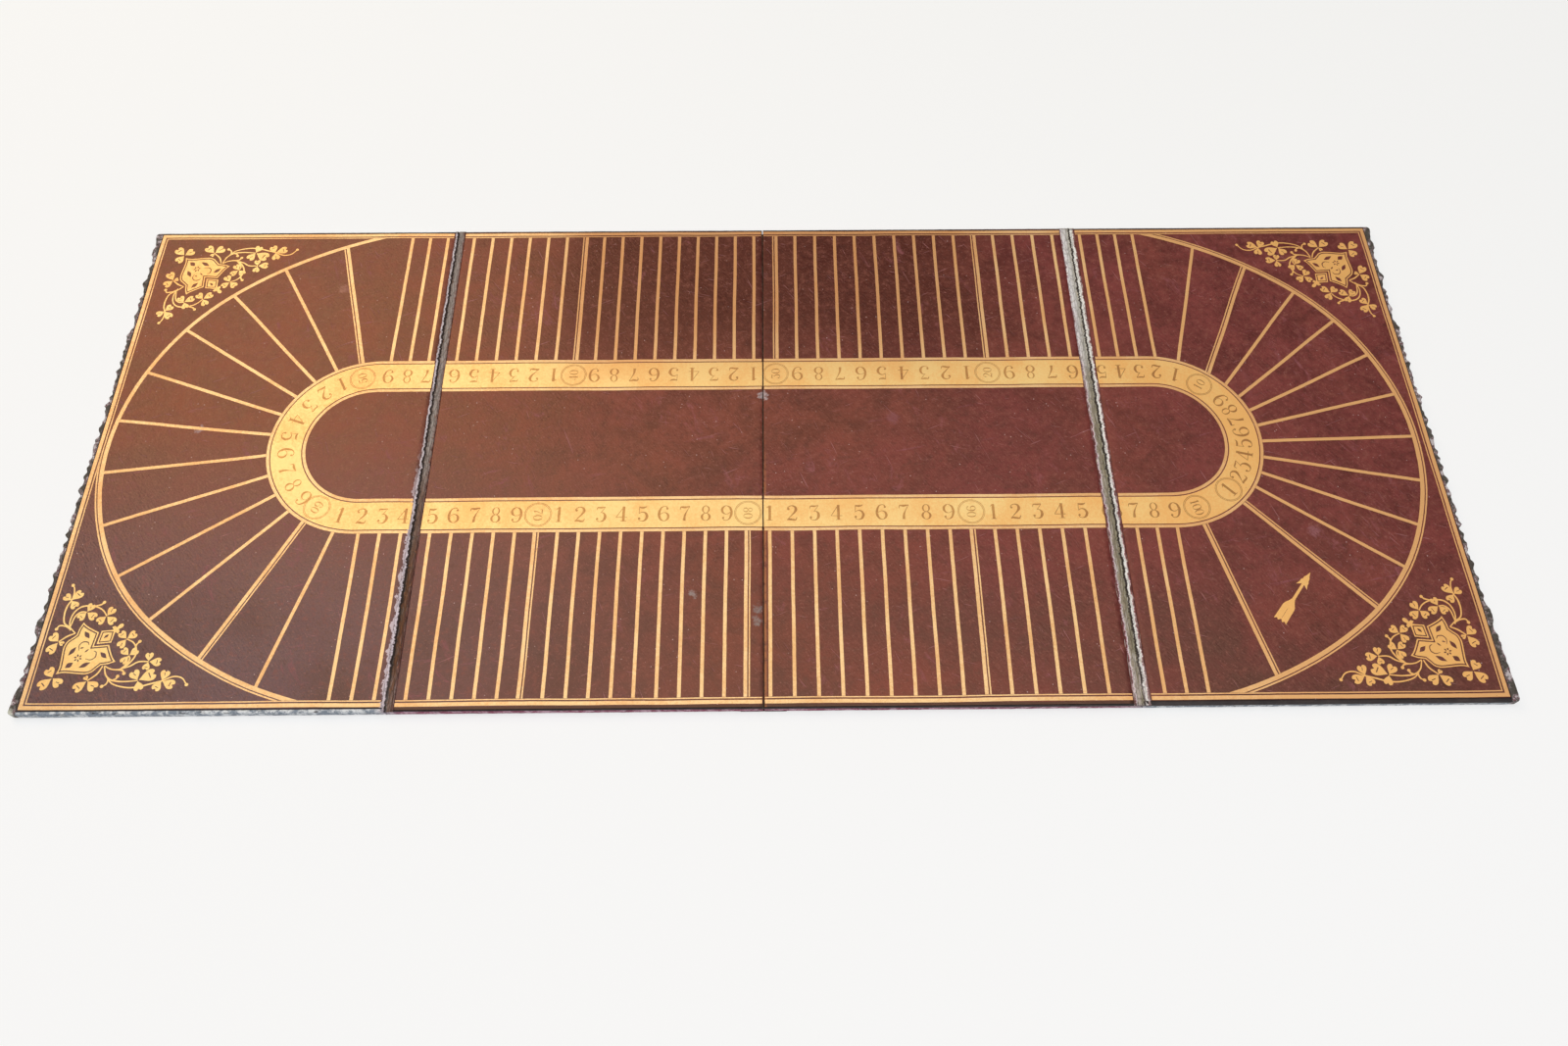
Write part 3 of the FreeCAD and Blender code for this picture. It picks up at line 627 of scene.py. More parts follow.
class Nodes:
    """A node tree and short ways to add nodes to it."""

    def __init__(self, tree, place="Object"):
        self.tree = tree
        self.place = self.node("ShaderNodeTexCoord").outputs[place]

    def node(self, kind, settings=(), **inputs):
        made = self.tree.nodes.new(kind)
        for key, value in dict(settings).items():
            setattr(made, key, value)
        for key, value in inputs.items():
            self.put(made.inputs[key.replace("_", " ")], value)
        return made

    def put(self, socket, value):
        if isinstance(value, bpy.types.NodeSocket):
            self.tree.links.new(value, socket)
        else:
            socket.default_value = value

    def axis(self, letter):
        return self.node("ShaderNodeSeparateXYZ", Vector=self.place).outputs[letter]

    def range(self, value, low, high, to_low=0.0, to_high=1.0, linear=False):
        """The value brought from one span to another, eased at both ends unless linear."""
        kind = "LINEAR" if linear else "SMOOTHSTEP"
        return self.node("ShaderNodeMapRange", {"interpolation_type": kind}, Value=value, From_Min=low,
                         From_Max=high, To_Min=to_low, To_Max=to_high).outputs["Result"]

    def math(self, kind, a, b=0.0):
        made = self.node("ShaderNodeMath", {"operation": kind})
        self.put(made.inputs[0], a)
        self.put(made.inputs[1], b)
        return made.outputs[0]

    def times(self, *values):
        return reduce(lambda a, b: self.math("MULTIPLY", a, b), values)

    def plus(self, *values):
        return reduce(lambda a, b: self.math("ADD", a, b), values)

    def seen_by(self, *rays):
        """One for the named kinds of ray, such as Camera, and else nothing."""
        path = self.node("ShaderNodeLightPath").outputs
        return reduce(lambda a, b: self.math("MAXIMUM", a, b), [path[f"Is {ray} Ray"] for ray in rays])

    def show(self, share, under, over, end):
        """Sends a mix of two shaders to the node that ends the tree."""
        both = self.node("ShaderNodeMixShader")
        for index, value in enumerate((share, under, over)):
            self.put(both.inputs[index], value)
        self.put(self.tree.nodes[end].inputs["Surface"], both.outputs[0])


class Shader(Nodes):
    """The nodes of a new material; its colour is laid on layer by layer."""

    def __init__(self, name, **finish):
        self.material = bpy.data.materials.new(name)
        self.material.use_nodes = True
        super().__init__(self.material.node_tree)
        self.surface = self.tree.nodes["Principled BSDF"]
        self.finish(**finish)

    def finish(self, **inputs):
        for key, value in inputs.items():
            self.put(self.surface.inputs[key.replace("_", " ")], value)
        return self.material

    def noise(self, scale, detail=3.0, rough=0.5, vector=None, distortion=0.0):
        return self.node("ShaderNodeTexNoise", Vector=vector or self.place, Scale=scale, Detail=detail,
                         Roughness=rough, Distortion=distortion).outputs["Fac"]

    def stretched(self, scale=(1, 1, 1), turn=0.0):
        """Coordinates scaled along axes that are turned first, so streaks can run any way."""
        made = self.node("ShaderNodeMapping", {"vector_type": "TEXTURE"}, Vector=self.place)
        made.inputs["Scale"].default_value = [1 / share for share in scale]
        made.inputs["Rotation"].default_value = (0, 0, math.radians(turn))
        return made.outputs["Vector"]

    def streaks(self, scale, detail, rough, turn=0.0, distortion=0.0):
        """Noise with its own scale along each axis."""
        return self.noise(1.0, detail, rough, self.stretched(scale, turn), distortion)

    def cells(self, scale, feature="F1", vector=None):
        return self.node("ShaderNodeTexVoronoi", {"feature": feature}, Vector=vector or self.place,
                         Scale=scale).outputs["Distance"]

    def near(self, x, y, radius, soft, ragged):
        """One inside a round spot, fading to nothing over a soft rim that strays to and fro."""
        flat = self.node("ShaderNodeCombineXYZ", X=self.axis("X"), Y=self.axis("Y")).outputs[0]
        made = self.node("ShaderNodeVectorMath", {"operation": "DISTANCE"})
        self.put(made.inputs[0], flat)
        self.put(made.inputs[1], (x, y, 0))
        stray = self.range(self.noise(350.0, 4.0, 0.7), 0.3, 0.7, -ragged, ragged)
        return self.range(self.plus(made.outputs["Value"], stray), radius + soft, radius)

    def far_middle(self):
        """One in the middle of the far side, where the colour is painted darker as shade."""
        x, y = self.axis("X"), self.axis("Y")
        return self.times(self.range(y, 0.03, 0.1), self.range(x, -0.15, -0.11), self.range(x, 0.2, 0.08))

    def mix(self, factor, a, b):
        made = self.node("ShaderNodeMix", {"data_type": "RGBA"})
        for index, value in ((0, factor), (6, a), (7, b)):
            self.put(made.inputs[index], value)
        return made.outputs[2]

    def tones(self, value, low, high, first, second):
        """One colour below a span of the value, another above it."""
        return self.mix(self.range(value, low, high), srgb(*first), srgb(*second))

    def lay(self, share, *colour):
        """Covers a share of the colour so far with another, from a node or as a screen colour."""
        self.colour = self.mix(share, self.colour, colour[0] if len(colour) == 1 else srgb(*colour))

    def bump(self, height, distance, strength, before=None):
        """Surface direction for a height, on top of a bump before it."""
        made = self.node("ShaderNodeBump", Height=height, Distance=distance, Strength=strength)
        if before is not None:
            self.tree.links.new(before, made.inputs["Normal"])
        return made.outputs["Normal"]


def srgb(red, green, blue):
    """Shader colour of a screen colour from 0 to 255."""
    return tuple(((c / 255 + 0.055) / 1.055) ** 2.4 if c > 10 else c / 255 / 12.92
                 for c in (red, green, blue)) + (1.0,)


WARM_SHEEN = (1.0, 0.55, 0.38, 1.0)
# Rubbed spots on the playing face: place, radius, soft rim and colour
FACE_SPOTS = (
    (-0.0019, 0.0335, 0.0026, 0.0009, (176, 166, 170)),
    (-0.0052, -0.1075, 0.0012, 0.0020, (128, 126, 128)),
    (-0.0055, -0.1145, 0.0014, 0.0022, (134, 130, 130)),
    (-0.0410, -0.0986, 0.0012, 0.0014, (144, 136, 136)),
    (-0.3380, 0.0120, 0.0016, 0.0016, (150, 132, 138)),
    (0.0760, 0.0170, 0.0016, 0.0040, (126, 72, 80)),
    (0.3120, -0.0620, 0.0020, 0.0026, (136, 84, 92)),
    (-0.2700, 0.1180, 0.0018, 0.0022, (140, 96, 88)),
)
SPOT_RAG = 0.0012
# Turn of the scratches in degrees, and how fine they are along and across
SCRATCHES = ((24, 60, 900), (-52, 80, 1200), (112, 50, 800), (-14, 90, 1000))


def face_leather_material():
    """Red-brown grained leather, browner and lighter to the left, partly as painted warm sheen, and redder to
    the right, worn all over.
    """
    s = Shader("face_leather", Specular_IOR_Level=0.85, Specular_Tint=WARM_SHEEN)
    x, y = s.axis("X"), s.axis("Y")
    clouds = s.noise(42.0, 4.0, 0.62, distortion=0.6)
    broad = s.noise(11.0, 3.0, 0.55)
    mottle = s.noise(230.0, 4.0, 0.7)
    speckle = s.noise(900.0, 2.0, 0.6)
    fine = s.noise(1900.0, 1.0, 0.5)
    # The lighter brown, laid on more to the left, is partly the leather's colour and partly a painted warm
    # sheen
    brown_and_sheen = s.tones(clouds, 0.3, 0.7, (88, 46, 28), (125, 66, 45))
    red = s.tones(clouds, 0.3, 0.7, (95, 37, 39), (119, 50, 52))
    s.colour = s.mix(s.plus(s.range(x, -0.36, 0.3), s.range(broad, 0.3, 0.7, -0.2, 0.2)), brown_and_sheen, red)
    # Broad changes of tone
    s.lay(s.times(s.range(y, 0.04, -0.14), s.range(x, 0.02, -0.3), 0.9), 88, 78, 90)
    # Painted shade: the middle of the far side laid darker and redder
    s.lay(s.times(s.far_middle(), 0.9), 66, 12, 9)
    s.lay(s.times(s.range(y, -0.07, -0.13), s.range(broad, 0.34, 0.7), 0.7), 62, 46, 40)
    # The leather's own grain
    s.lay(s.range(mottle, 0.5, 0.7, 0.0, 0.4), 136, 80, 70)
    s.lay(s.range(mottle, 0.5, 0.3, 0.0, 0.42), 58, 28, 26)
    s.lay(s.range(speckle, 0.58, 0.74, 0.0, 0.45), 158, 104, 96)
    s.lay(s.range(fine, 0.42, 0.26, 0.0, 0.35), 50, 24, 24)
    # Scuffs, scratches and dust
    rubbed = s.noise(95.0, 5.0, 0.75, s.stretched((1.0, 0.45, 1.0), 30), 1.2)
    scuffs = s.times(s.range(rubbed, 0.56, 0.72), s.range(s.noise(16.0, 2.0), 0.4, 0.6))
    s.lay(s.times(scuffs, 0.65), 150, 88, 98)
    scratches = 0.0
    for turn, length, width in SCRATCHES:
        streak = s.streaks((length, width, 300), 1.0, 0.4, turn)
        scratches = s.math("MAXIMUM", s.range(streak, 0.745, 0.83), scratches)
    s.lay(s.times(scratches, 0.5), 166, 112, 118)
    long_scuff = s.range(s.streaks((26, 240, 100), 3.0, 0.6, 12), 0.66, 0.76)
    s.lay(s.times(long_scuff, s.range(mottle, 0.4, 0.6, 0.4, 1.0), 0.5), 142, 84, 100)
    dust = s.times(s.range(s.cells(230.0), 0.1, 0.035), s.range(s.noise(60.0, 2.0), 0.48, 0.58))
    s.lay(s.times(dust, 0.8), 206, 180, 178)
    for spot_x, spot_y, radius, soft, tone in FACE_SPOTS:
        spot = s.near(spot_x, spot_y, radius, soft, SPOT_RAG)
        s.lay(s.times(spot, s.range(speckle, 0.35, 0.55, 0.35, 0.9)), *tone)
    # Dark margin outside the frame, pale crust left of the left joint, and rims worn at the middle one
    s.lay(s.range(s.math("ABSOLUTE", s.plus(y, -0.0005)), 0.1630, 0.1633, 0.0, 0.85), 50, 40, 34)
    edge = s.plus(x, s.range(s.noise(170.0, 4.0, 0.7), 0.3, 0.7, -0.0014, 0.0014))
    crust = s.times(s.range(edge, -0.2051, -0.2048), s.range(x, -0.2036, -0.2038))
    s.lay(s.times(crust, s.range(y, 0.01, -0.06, 0.0, 0.9)), 212, 200, 210)
    from_joint = s.math("ABSOLUTE", s.plus(x, 0.0011))
    worn_rim = s.times(s.range(from_joint, 0.0009, 0.0005), s.range(y, 0.02, -0.06))
    s.lay(s.times(worn_rim, s.range(mottle, 0.36, 0.5), 0.9), 168, 106, 66)
    hatch = s.streaks((1000, 190, 400), 3.0, 0.55, 38)
    height = s.plus(s.times(s.cells(760.0, "SMOOTH_F1"), 0.8), s.times(hatch, 1.1), s.times(scratches, -0.6))
    normal = s.bump(s.noise(70.0, 3.0), 0.0005, 0.5, s.bump(height, 0.00014, 0.8))
    dull = s.range(s.plus(s.times(clouds, 0.4), s.times(mottle, 0.6)), 0.35, 0.65, 0.28, 0.48)
    return s.finish(Base_Color=s.colour, Roughness=s.plus(dull, s.times(scuffs, 0.2)), Normal=normal)


def gold_material(name, light, deep, worn, wear):
    """Gold leaf, thin and rubbed, laid darker towards the right and in the far middle as painted shade; wear
    is how readily the leather shows through.
    """
    s = Shader(name, Specular_IOR_Level=0.5)
    fine = s.noise(900.0, 3.0, 0.7)
    # Painted shade: the gold turns to its deeper tone towards the right
    darker_to_right_shade = s.range(s.axis("X"), 0.08, 0.36, -0.15, 0.9)
    tone = s.plus(s.times(s.noise(28.0, 3.0, 0.6), 0.6), s.times(fine, 0.4))
    s.colour = s.mix(s.plus(s.range(tone, 0.35, 0.65), darker_to_right_shade), srgb(*light), srgb(*deep))
    # Painted shade: the gold laid darker in the middle of the far side
    s.lay(s.times(s.far_middle(), 0.65), 196, 128, 74)
    rubbed = s.plus(s.times(s.noise(110.0, 4.0, 0.75), 0.6), s.times(s.noise(1500.0, 2.0, 0.6), 0.4))
    lost = s.range(rubbed, 0.66 - wear, 0.72 - wear)
    s.lay(lost, *worn)
    normal = s.bump(s.plus(fine, s.cells(760.0, "SMOOTH_F1")), 0.00006, 0.6)
    return s.finish(Base_Color=s.colour, Roughness=s.range(fine, 0.3, 0.7, 0.36, 0.54), Normal=normal,
                    Metallic=s.range(lost, 0.0, 1.0, 0.4, 0.0))


def cover_leather_material():
    """Dark leather of the back, turned in over the edges, where it is rubbed and torn pale."""
    s = Shader("cover_leather", Specular_IOR_Level=0.4)
    x, y, z = s.axis("X"), s.axis("Y"), s.axis("Z")
    fine = s.noise(700.0, 4.0, 0.7)
    s.colour = s.tones(s.noise(70.0, 5.0, 0.7), 0.3, 0.7, (34, 28, 31), (60, 50, 50))
    s.lay(s.range(fine, 0.55, 0.75, 0.0, 0.3), 110, 98, 96)
    # Rubbed streaks along the edges, pink on the middle leaves and blue-grey on the outer ones; their pale
    # flecks on the rounded edge and its side are partly real wear and partly painted highlight, made bright
    # where that side lies in shade
    middle = s.times(s.range(x, -0.21, -0.19), s.range(x, 0.205, 0.19))
    spots = s.noise(300.0, 4.0, 0.7)
    blue = s.tones(spots, 0.42, 0.6, (134, 146, 162), (230, 235, 240))
    pink = s.tones(spots, 0.42, 0.62, (150, 54, 92), (214, 172, 192))
    on_top = s.times(s.range(y, -0.1631, -0.1637), s.range(x, -0.2, -0.204))
    on_side = s.range(s.plus(z, s.range(x, -0.204, 0.203, 0.0, 0.0017, linear=True)), 0.0048, 0.0042)
    streaks = s.range(s.streaks((170, 700, 700), 4.0, 0.7), 0.3, 0.45)
    share = s.times(streaks, s.math("MAXIMUM", on_side, on_top), s.range(z, 0.0003, 0.0008),
                    s.range(x, 0.2, 0.3, 1.0, 0.85), s.range(middle, 0, 1, 0.95, 0.9))
    s.lay(share, s.mix(middle, blue, pink))
    # Torn ends, where layers of board and paper show
    torn = s.noise(170.0, 4.0, 0.65)
    ends = s.tones(torn, 0.46, 0.62, (78, 72, 66), (196, 188, 192))
    ends = s.mix(s.range(s.noise(420.0, 3.0, 0.7), 0.5, 0.64, 0.0, 0.8), ends, srgb(52, 46, 40))
    ends = s.mix(s.times(s.range(torn, 0.53, 0.545), s.range(torn, 0.575, 0.56)), ends, srgb(104, 56, 66))
    at_end = s.range(s.math("ABSOLUTE", x), 0.3953, 0.3957)
    s.lay(s.times(at_end, s.range(fine, 0.3, 0.5, 0.75, 1.0)), ends)
    s.lay(s.times(s.near(-0.3995, -0.1645, 0.0012, 0.0022, 0.0008), 0.9), 206, 210, 196)
    normal = s.bump(s.plus(s.cells(640.0, "SMOOTH_F1"), fine), 0.00018, 0.8)
    return s.finish(Base_Color=s.colour, Roughness=s.range(fine, 0.3, 0.7, 0.5, 0.75), Normal=normal)


def bands(s, value, stops):
    """Colours along a value in millimetres, each running into the next."""
    low, high = stops[0][0], stops[-1][0]
    made = s.node("ShaderNodeValToRGB", Fac=s.range(value, low, high, linear=True))
    points = made.color_ramp.elements
    while len(points) < len(stops):
        points.new(0.5)
    for point, (place, colour) in zip(points, stops):
        point.position = (place - low) / (high - low)
        point.color = srgb(*colour)
    return made.outputs["Color"]


def strip_material(name, joint, far_stops, near_stops, turnover, bits, fibres, crease, dirt):
    """Cracked, faded strip over a joint, in bands of colour that are ragged where they meet.

    The bands are given in millimetres from the joint, at the far and the near side of the board,
    and change over between two places. Flat coordinates stay put when the strip bends.
    """
    s = Shader(name, Specular_IOR_Level=0.3, Roughness=0.75)
    s.place = s.node("ShaderNodeUVMap", {"uv_map": "flat"}).outputs["UV"]
    y = s.axis("Y")
    ragged = s.streaks((60, 230, 1), 4.0, 0.7)
    quick = s.streaks((300, 900, 1), 2.0, 0.6)
    place = s.plus(s.times(s.plus(s.axis("X"), -JOINT_X["fold_" + joint]), 1 / MM),
                   s.range(ragged, 0.25, 0.75, -1.0, 1.0, linear=True),
                   s.range(quick, 0.25, 0.75, -0.35, 0.35, linear=True))
    shift = s.range(s.noise(18.0, 3.0), 0.3, 0.7, -0.03, 0.03)
    nearness = s.range(s.plus(y, shift), *turnover)
    s.colour = s.mix(nearness, bands(s, place, far_stops), bands(s, place, near_stops))
    spots = s.streaks((420, 160, 1), 4.0, 0.7)
    s.lay(s.range(spots, 0.58, 0.68, 0.0, 0.6), *bits)
    threads = s.streaks((1700, 90, 1), 3.0, 0.65)
    s.lay(s.range(threads, 0.54, 0.64, 0.0, fibres), 224, 220, 220)
    s.lay(s.range(threads, 0.44, 0.34, 0.0, dirt), 64, 54, 48)
    folded = s.math("ABSOLUTE", s.plus(place, -crease))
    # Painted shade: a dark line along the strip's crease
    s.lay(s.range(folded, 0.7, 0.3, 0.0, 0.9), *CREASE_SHADE)
    s.lay(s.times(s.range(y, -0.135, -0.155), fibres, s.range(threads, 0.42, 0.55)), 228, 214, 214)
    cracks = s.cells(1.0, "DISTANCE_TO_EDGE", s.stretched((560, 150, 1)))
    s.lay(s.range(cracks, 0.07, 0.0, 0.0, dirt), 70, 58, 48)
    fine = s.noise(900.0, 4.0, 0.7)
    s.lay(s.range(fine, 0.5, 0.75, 0.0, 0.2), 84, 68, 60)
    height = s.plus(s.range(cracks, 0.0, 0.12), fine, spots)
    return s.finish(Base_Color=s.colour, Normal=s.bump(height, 0.0003, 0.9))


def plain_material(name, first, second, scale, weave=None):
    """Two tones of one stuff, with threads both ways where it is woven."""
    s = Shader(name, Specular_IOR_Level=0.3, Roughness=0.9)
    height = s.noise(scale, 4.0, 0.65)
    colour = s.tones(height, 0.35, 0.65, first, second)
    if weave:
        for turn in (0, 90):
            wave = s.node("ShaderNodeTexWave", Vector=s.stretched(turn=turn), Scale=weave, Distortion=0.4)
            height = s.plus(height, wave.outputs["Fac"])
    return s.finish(Base_Color=colour, Normal=s.bump(height, 0.0001, 0.6))


face_leather = face_leather_material()
gold = gold_material("gilding", (255, 219, 145), (250, 192, 114), (150, 98, 62), 0.0)
line_gold = gold_material("gilding_lines", (250, 210, 152), (236, 180, 118), (120, 72, 50), 0.02)
# Darker gold for what is pressed down: partly the colour of blind tooling, partly painted shade in the
# shallow recesses
pressed_gold_and_shade = gold_material("gilding_pressed", (206, 152, 84), (176, 122, 66), (120, 74, 48), 0.05)
cover_leather = cover_leather_material()
# The last colour here is painted shade along each strip's crease; the dark stops round each crease below are
# painted shade too
BY_LEFT, BY_RIGHT, CREASE_SHADE = (112, 68, 58), (112, 58, 54), (44, 34, 32)
left_strip = strip_material(
    "hinge_leather_left", "left",
    ((-2.6, BY_LEFT), (-2.1, (150, 118, 120)), (-1.7, (222, 214, 222)), (-1.0, (206, 196, 204)),
     (-0.7, CREASE_SHADE), (0.2, CREASE_SHADE), (0.6, (132, 120, 116)), (2.0, (164, 154, 148)), (3.4, (146, 130, 126)),
     (4.4, BY_LEFT)),
    ((-2.6, BY_LEFT), (-2.4, (190, 170, 180)), (-2.0, (230, 222, 232)), (-0.9, (204, 190, 202)),
     (-0.6, CREASE_SHADE), (0.4, CREASE_SHADE), (0.9, (92, 62, 44)), (2.2, (112, 72, 46)), (3.2, (88, 58, 50)),
     (4.4, BY_LEFT)),
    turnover=(0.02, -0.07), bits=(160, 102, 58), fibres=0.14, crease=-0.25, dirt=0.5)
right_strip = strip_material(
    "hinge_leather_right", "right",
    ((-4.9, BY_RIGHT), (-4.4, (190, 168, 180)), (-3.8, (238, 236, 238)), (-2.4, (222, 220, 222)),
     (-0.8, (198, 196, 190)), (0.4, (206, 204, 196)), (0.9, (92, 84, 70)), (1.5, (84, 78, 66)),
     (1.9, (240, 240, 236)), (3.4, (246, 245, 240)), (3.8, (170, 120, 116)), (4.3, BY_RIGHT)),
    ((-4.9, BY_RIGHT), (-4.0, BY_RIGHT), (-3.7, (176, 126, 140)), (-3.2, (230, 218, 224)),
     (-2.6, (168, 156, 142)), (-1.0, (140, 130, 106)), (0.3, (156, 150, 130)), (0.8, (62, 54, 42)),
     (1.6, (62, 56, 44)), (2.0, (244, 242, 240)), (3.1, (246, 244, 242)), (3.5, (180, 126, 130)),
     (3.9, BY_RIGHT)),
    turnover=(0.12, 0.02), bits=(206, 190, 162), fibres=0.5, crease=1.25, dirt=0.4)
back_strip = strip_material(
    "hinge_leather_back", "centre",
    ((-12.5, (52, 44, 44)), (-3.0, (64, 52, 50)), (-0.8, (120, 92, 84)), (0.0, (60, 46, 42)),
     (0.8, (116, 90, 84)), (3.0, (64, 52, 50)), (12.5, (52, 44, 44))),
    ((-12.5, (50, 44, 46)), (-3.0, (60, 50, 50)), (-0.8, (130, 98, 88)), (0.0, (60, 46, 42)),
     (0.8, (126, 98, 88)), (3.0, (60, 50, 50)), (12.5, (50, 44, 46))),
    turnover=(0.05, -0.05), bits=(96, 78, 74), fibres=0.0, crease=0.0, dirt=0.6)
board_material = plain_material("millboard", (120, 98, 74), (150, 126, 98), 300.0)
linen_material = plain_material("linen", (150, 138, 116), (182, 170, 148), 500.0, 900.0)


def dress(made, body, slot, *nodes):
    """Lets a piece ride on a body in place of CAD nodes; the slot is not used."""
    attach(made, body)
    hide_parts(*nodes)


GILT_SPREAD = {"frame_lines": -0.00012, "track_lines": -0.00006, "number_band": 0.0002}
LONGEST_LINE = 0.2
DRIFT_STEP = 0.003


def grown(node, spread):
    """Outlines of a node with its gilding spread a little, apart from the long end arcs."""
    out = []
    for loop in top_loops(node):
        ys = [p.y for p in loop]
        is_arc = "track" in node and max(ys) - min(ys) > LONGEST_LINE
        if not is_arc:
            loop = inset(loop, -spread) if area(loop) > 0 else inset(loop[::-1], spread)
        out.append(loop)
    return out


def gilding():
    """The frame, track and band of each leaf, the ornaments and the arrow."""
    labels = numbers()
    for leaf in LEAVES:
        left, right = FACE_BOX[leaf][0].x, FACE_BOX[leaf][1].x
        for part, spread in GILT_SPREAD.items():
            node = f"{leaf}_{part}"
            loops = [[wander(p) for p in resampled(loop, DRIFT_STEP)] for loop in grown(node, spread)]
            cuts, surface = [], line_gold
            if part == "number_band":
                surface = gold
                for number, centre, inwards in labels:
                    if left - CIRCLE_RADIUS < centre.x < right + CIRCLE_RADIUS:
                        cuts += label(number, wander(centre), inwards)
            name = node.replace("lines", "gilding").replace("number_band", "band_gilding")
            dress(relief(name, [loops], cuts, [surface, pressed_gold_and_shade]), leaf, "gilding", node)
    for leaf in ("leaf_1", "leaf_4"):
        for side in ("near", "far"):
            ornament(leaf, side)
    arrow()


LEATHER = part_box("left_hinge_leather_on_leaf_1")[1].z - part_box("left_hinge_leather_on_leaf_1")[0].z
ARRIS = 0.0006
FACE_STEP = 0.0025
HAIR = 0.0001


def stations(low, high, step):
    """Even places from low to high, no more than a step apart."""
    count = max(1, math.ceil((high - low) / step))
    return [low + (high - low) * number / count for number in range(count + 1)]


def rounding(count):
    """Rounding of an arris, as pairs of how far each place lies in from the two sides."""
    turns = [math.pi / 2 * number / count for number in range(count + 1)]
    return [(ARRIS * (1 - math.sin(turn)), ARRIS * (1 - math.cos(turn))) for turn in turns]


def face_profile(leaf):
    """Cross-section of the face leather along X, as (x, z); the middle leaves' left edge is worn round."""
    low, high = FACE_BOX[leaf]
    deep = FACE_LEVEL - LEATHER
    left = [(low.x, deep), (low.x, FACE_LEVEL - HAIR), (low.x + HAIR, FACE_LEVEL)]
    if leaf in ("leaf_2", "leaf_3"):
        left = [(low.x, low.z)] + [(low.x + x, FACE_LEVEL - z) for x, z in rounding(5)[::-1]]
    right = [(high.x - HAIR, FACE_LEVEL), (high.x, FACE_LEVEL - HAIR), (high.x, deep)]
    middle = stations(left[-1][0], right[0][0], FACE_STEP)[1:-1]
    return left + [(x, FACE_LEVEL) for x in middle] + right


WAVE_DEPTH, DENT_DEPTH = 0.00002, 0.00005


def dent(x, y):
    """How far the face leather lies under its level: shallow waves and small dents."""
    wave = 0.5 + 0.5 * ripple(x * 45, y * 45, 5)
    small = max(0.0, ripple(x * 400, y * 400, 9)) ** 2
    return WAVE_DEPTH * wave + DENT_DEPTH * small


RIM_RAG = 0.00018


def face_piece(leaf):
    """Face leather of a leaf, its rim at the centre joint a little ragged."""
    low, high = FACE_BOX[leaf]
    profile = face_profile(leaf)
    rows = stations(low.y + 3 * HAIR, high.y - 3 * HAIR, FACE_STEP)
    rows = [low.y, low.y + HAIR] + rows + [high.y - HAIR, high.y]
    outwards = -1 if leaf == "leaf_2" else 1
    verts = []
    for y in rows:
        for x, z in profile:
            if y in (low.y, high.y):
                z = min(z, FACE_LEVEL - LEATHER)
            elif z == FACE_LEVEL:
                z -= dent(x, y)
            rag = 0.0
            if abs(x - JOINT_X["fold_centre"]) < 2 * ARRIS:
                rag = RIM_RAG * ripple(3.3, y * 260, z * 500)
            verts.append((x + rag * outwards, y, z))
    made = new_object(leaf + "_face", verts, grid_faces(len(rows), len(profile)), [face_leather])
    dress(made, leaf, "face_leather", leaf + "_face_leather")


# Sides of each leaf: what its left and right edges are
SIDES = {
    "leaf_1": ("free", "face hinge"),
    "leaf_2": ("face hinge", "back hinge"),
    "leaf_3": ("back hinge", "face hinge"),
    "leaf_4": ("face hinge", "free"),
}
CORNER_RADIUS = 0.0025
CORNER_STEPS = 6
BOARD_DEPTH = COVER_BOX["leaf_1"][1].y - COVER_BOX["leaf_1"][0].y
EDGE_STEP = 0.0012
UNDER_INSET = 0.012
UNDER_STEP = 0.012


def edge_path(leaf):
    """Stations along the covered edges of a leaf, each (outer point, outward normal).

    A leaf with a free end has one path round it; a middle leaf has a near and a far one.
    """
    low, high = COVER_BOX[leaf]
    if "free" not in SIDES[leaf]:
        near = [(Vector((x, low.y)), Vector((0, -1))) for x in stations(low.x, high.x, EDGE_STEP)]
        far = [(Vector((x, high.y)), Vector((0, 1))) for x in stations(low.x, high.x, EDGE_STEP)]
        return [near, far[::-1]]
    # Drawn for a free right end, and turned half round for a free left one
    way = -1 if SIDES[leaf][0] == "free" else 1
    start, end = sorted((way * low.x, way * high.x))
    side, inner = high.y, end - CORNER_RADIUS
    path = [(Vector((x, -side)), Vector((0, -1))) for x in stations(start, inner, EDGE_STEP)]
    for corner_y, first_turn in ((CORNER_RADIUS - side, -90), (side - CORNER_RADIUS, 0)):
        for step in range(1, CORNER_STEPS):
            normal = turned(Vector((1, 0)), first_turn + 90 * step / CORNER_STEPS)
            path.append((Vector((inner, corner_y)) + normal * CORNER_RADIUS, normal))
        if first_turn:
            path += [(Vector((end, y)), Vector((1, 0)))
                     for y in stations(corner_y, side - CORNER_RADIUS, EDGE_STEP)]
    path += [(Vector((x, side)), Vector((0, 1))) for x in stations(start, inner, EDGE_STEP)[::-1]]
    return [[(way * point, way * normal) for point, normal in path]]


DEEPEST_FRAY = 0.0037
EDGE_WEAR = 0.00016
# Loss all along a free end, and what its bites and its loose layers add to it
END_LOSS, BITE_DEPTH, LAYER_DEPTH = 0.0024, 0.0042, 0.001
# A free end is whole at its very corners and frays fully only this far from them
WHOLE_CORNER, CORNER_KEPT, NEAR_RIGHT_KEPT = 0.001, 0.02, 0.07


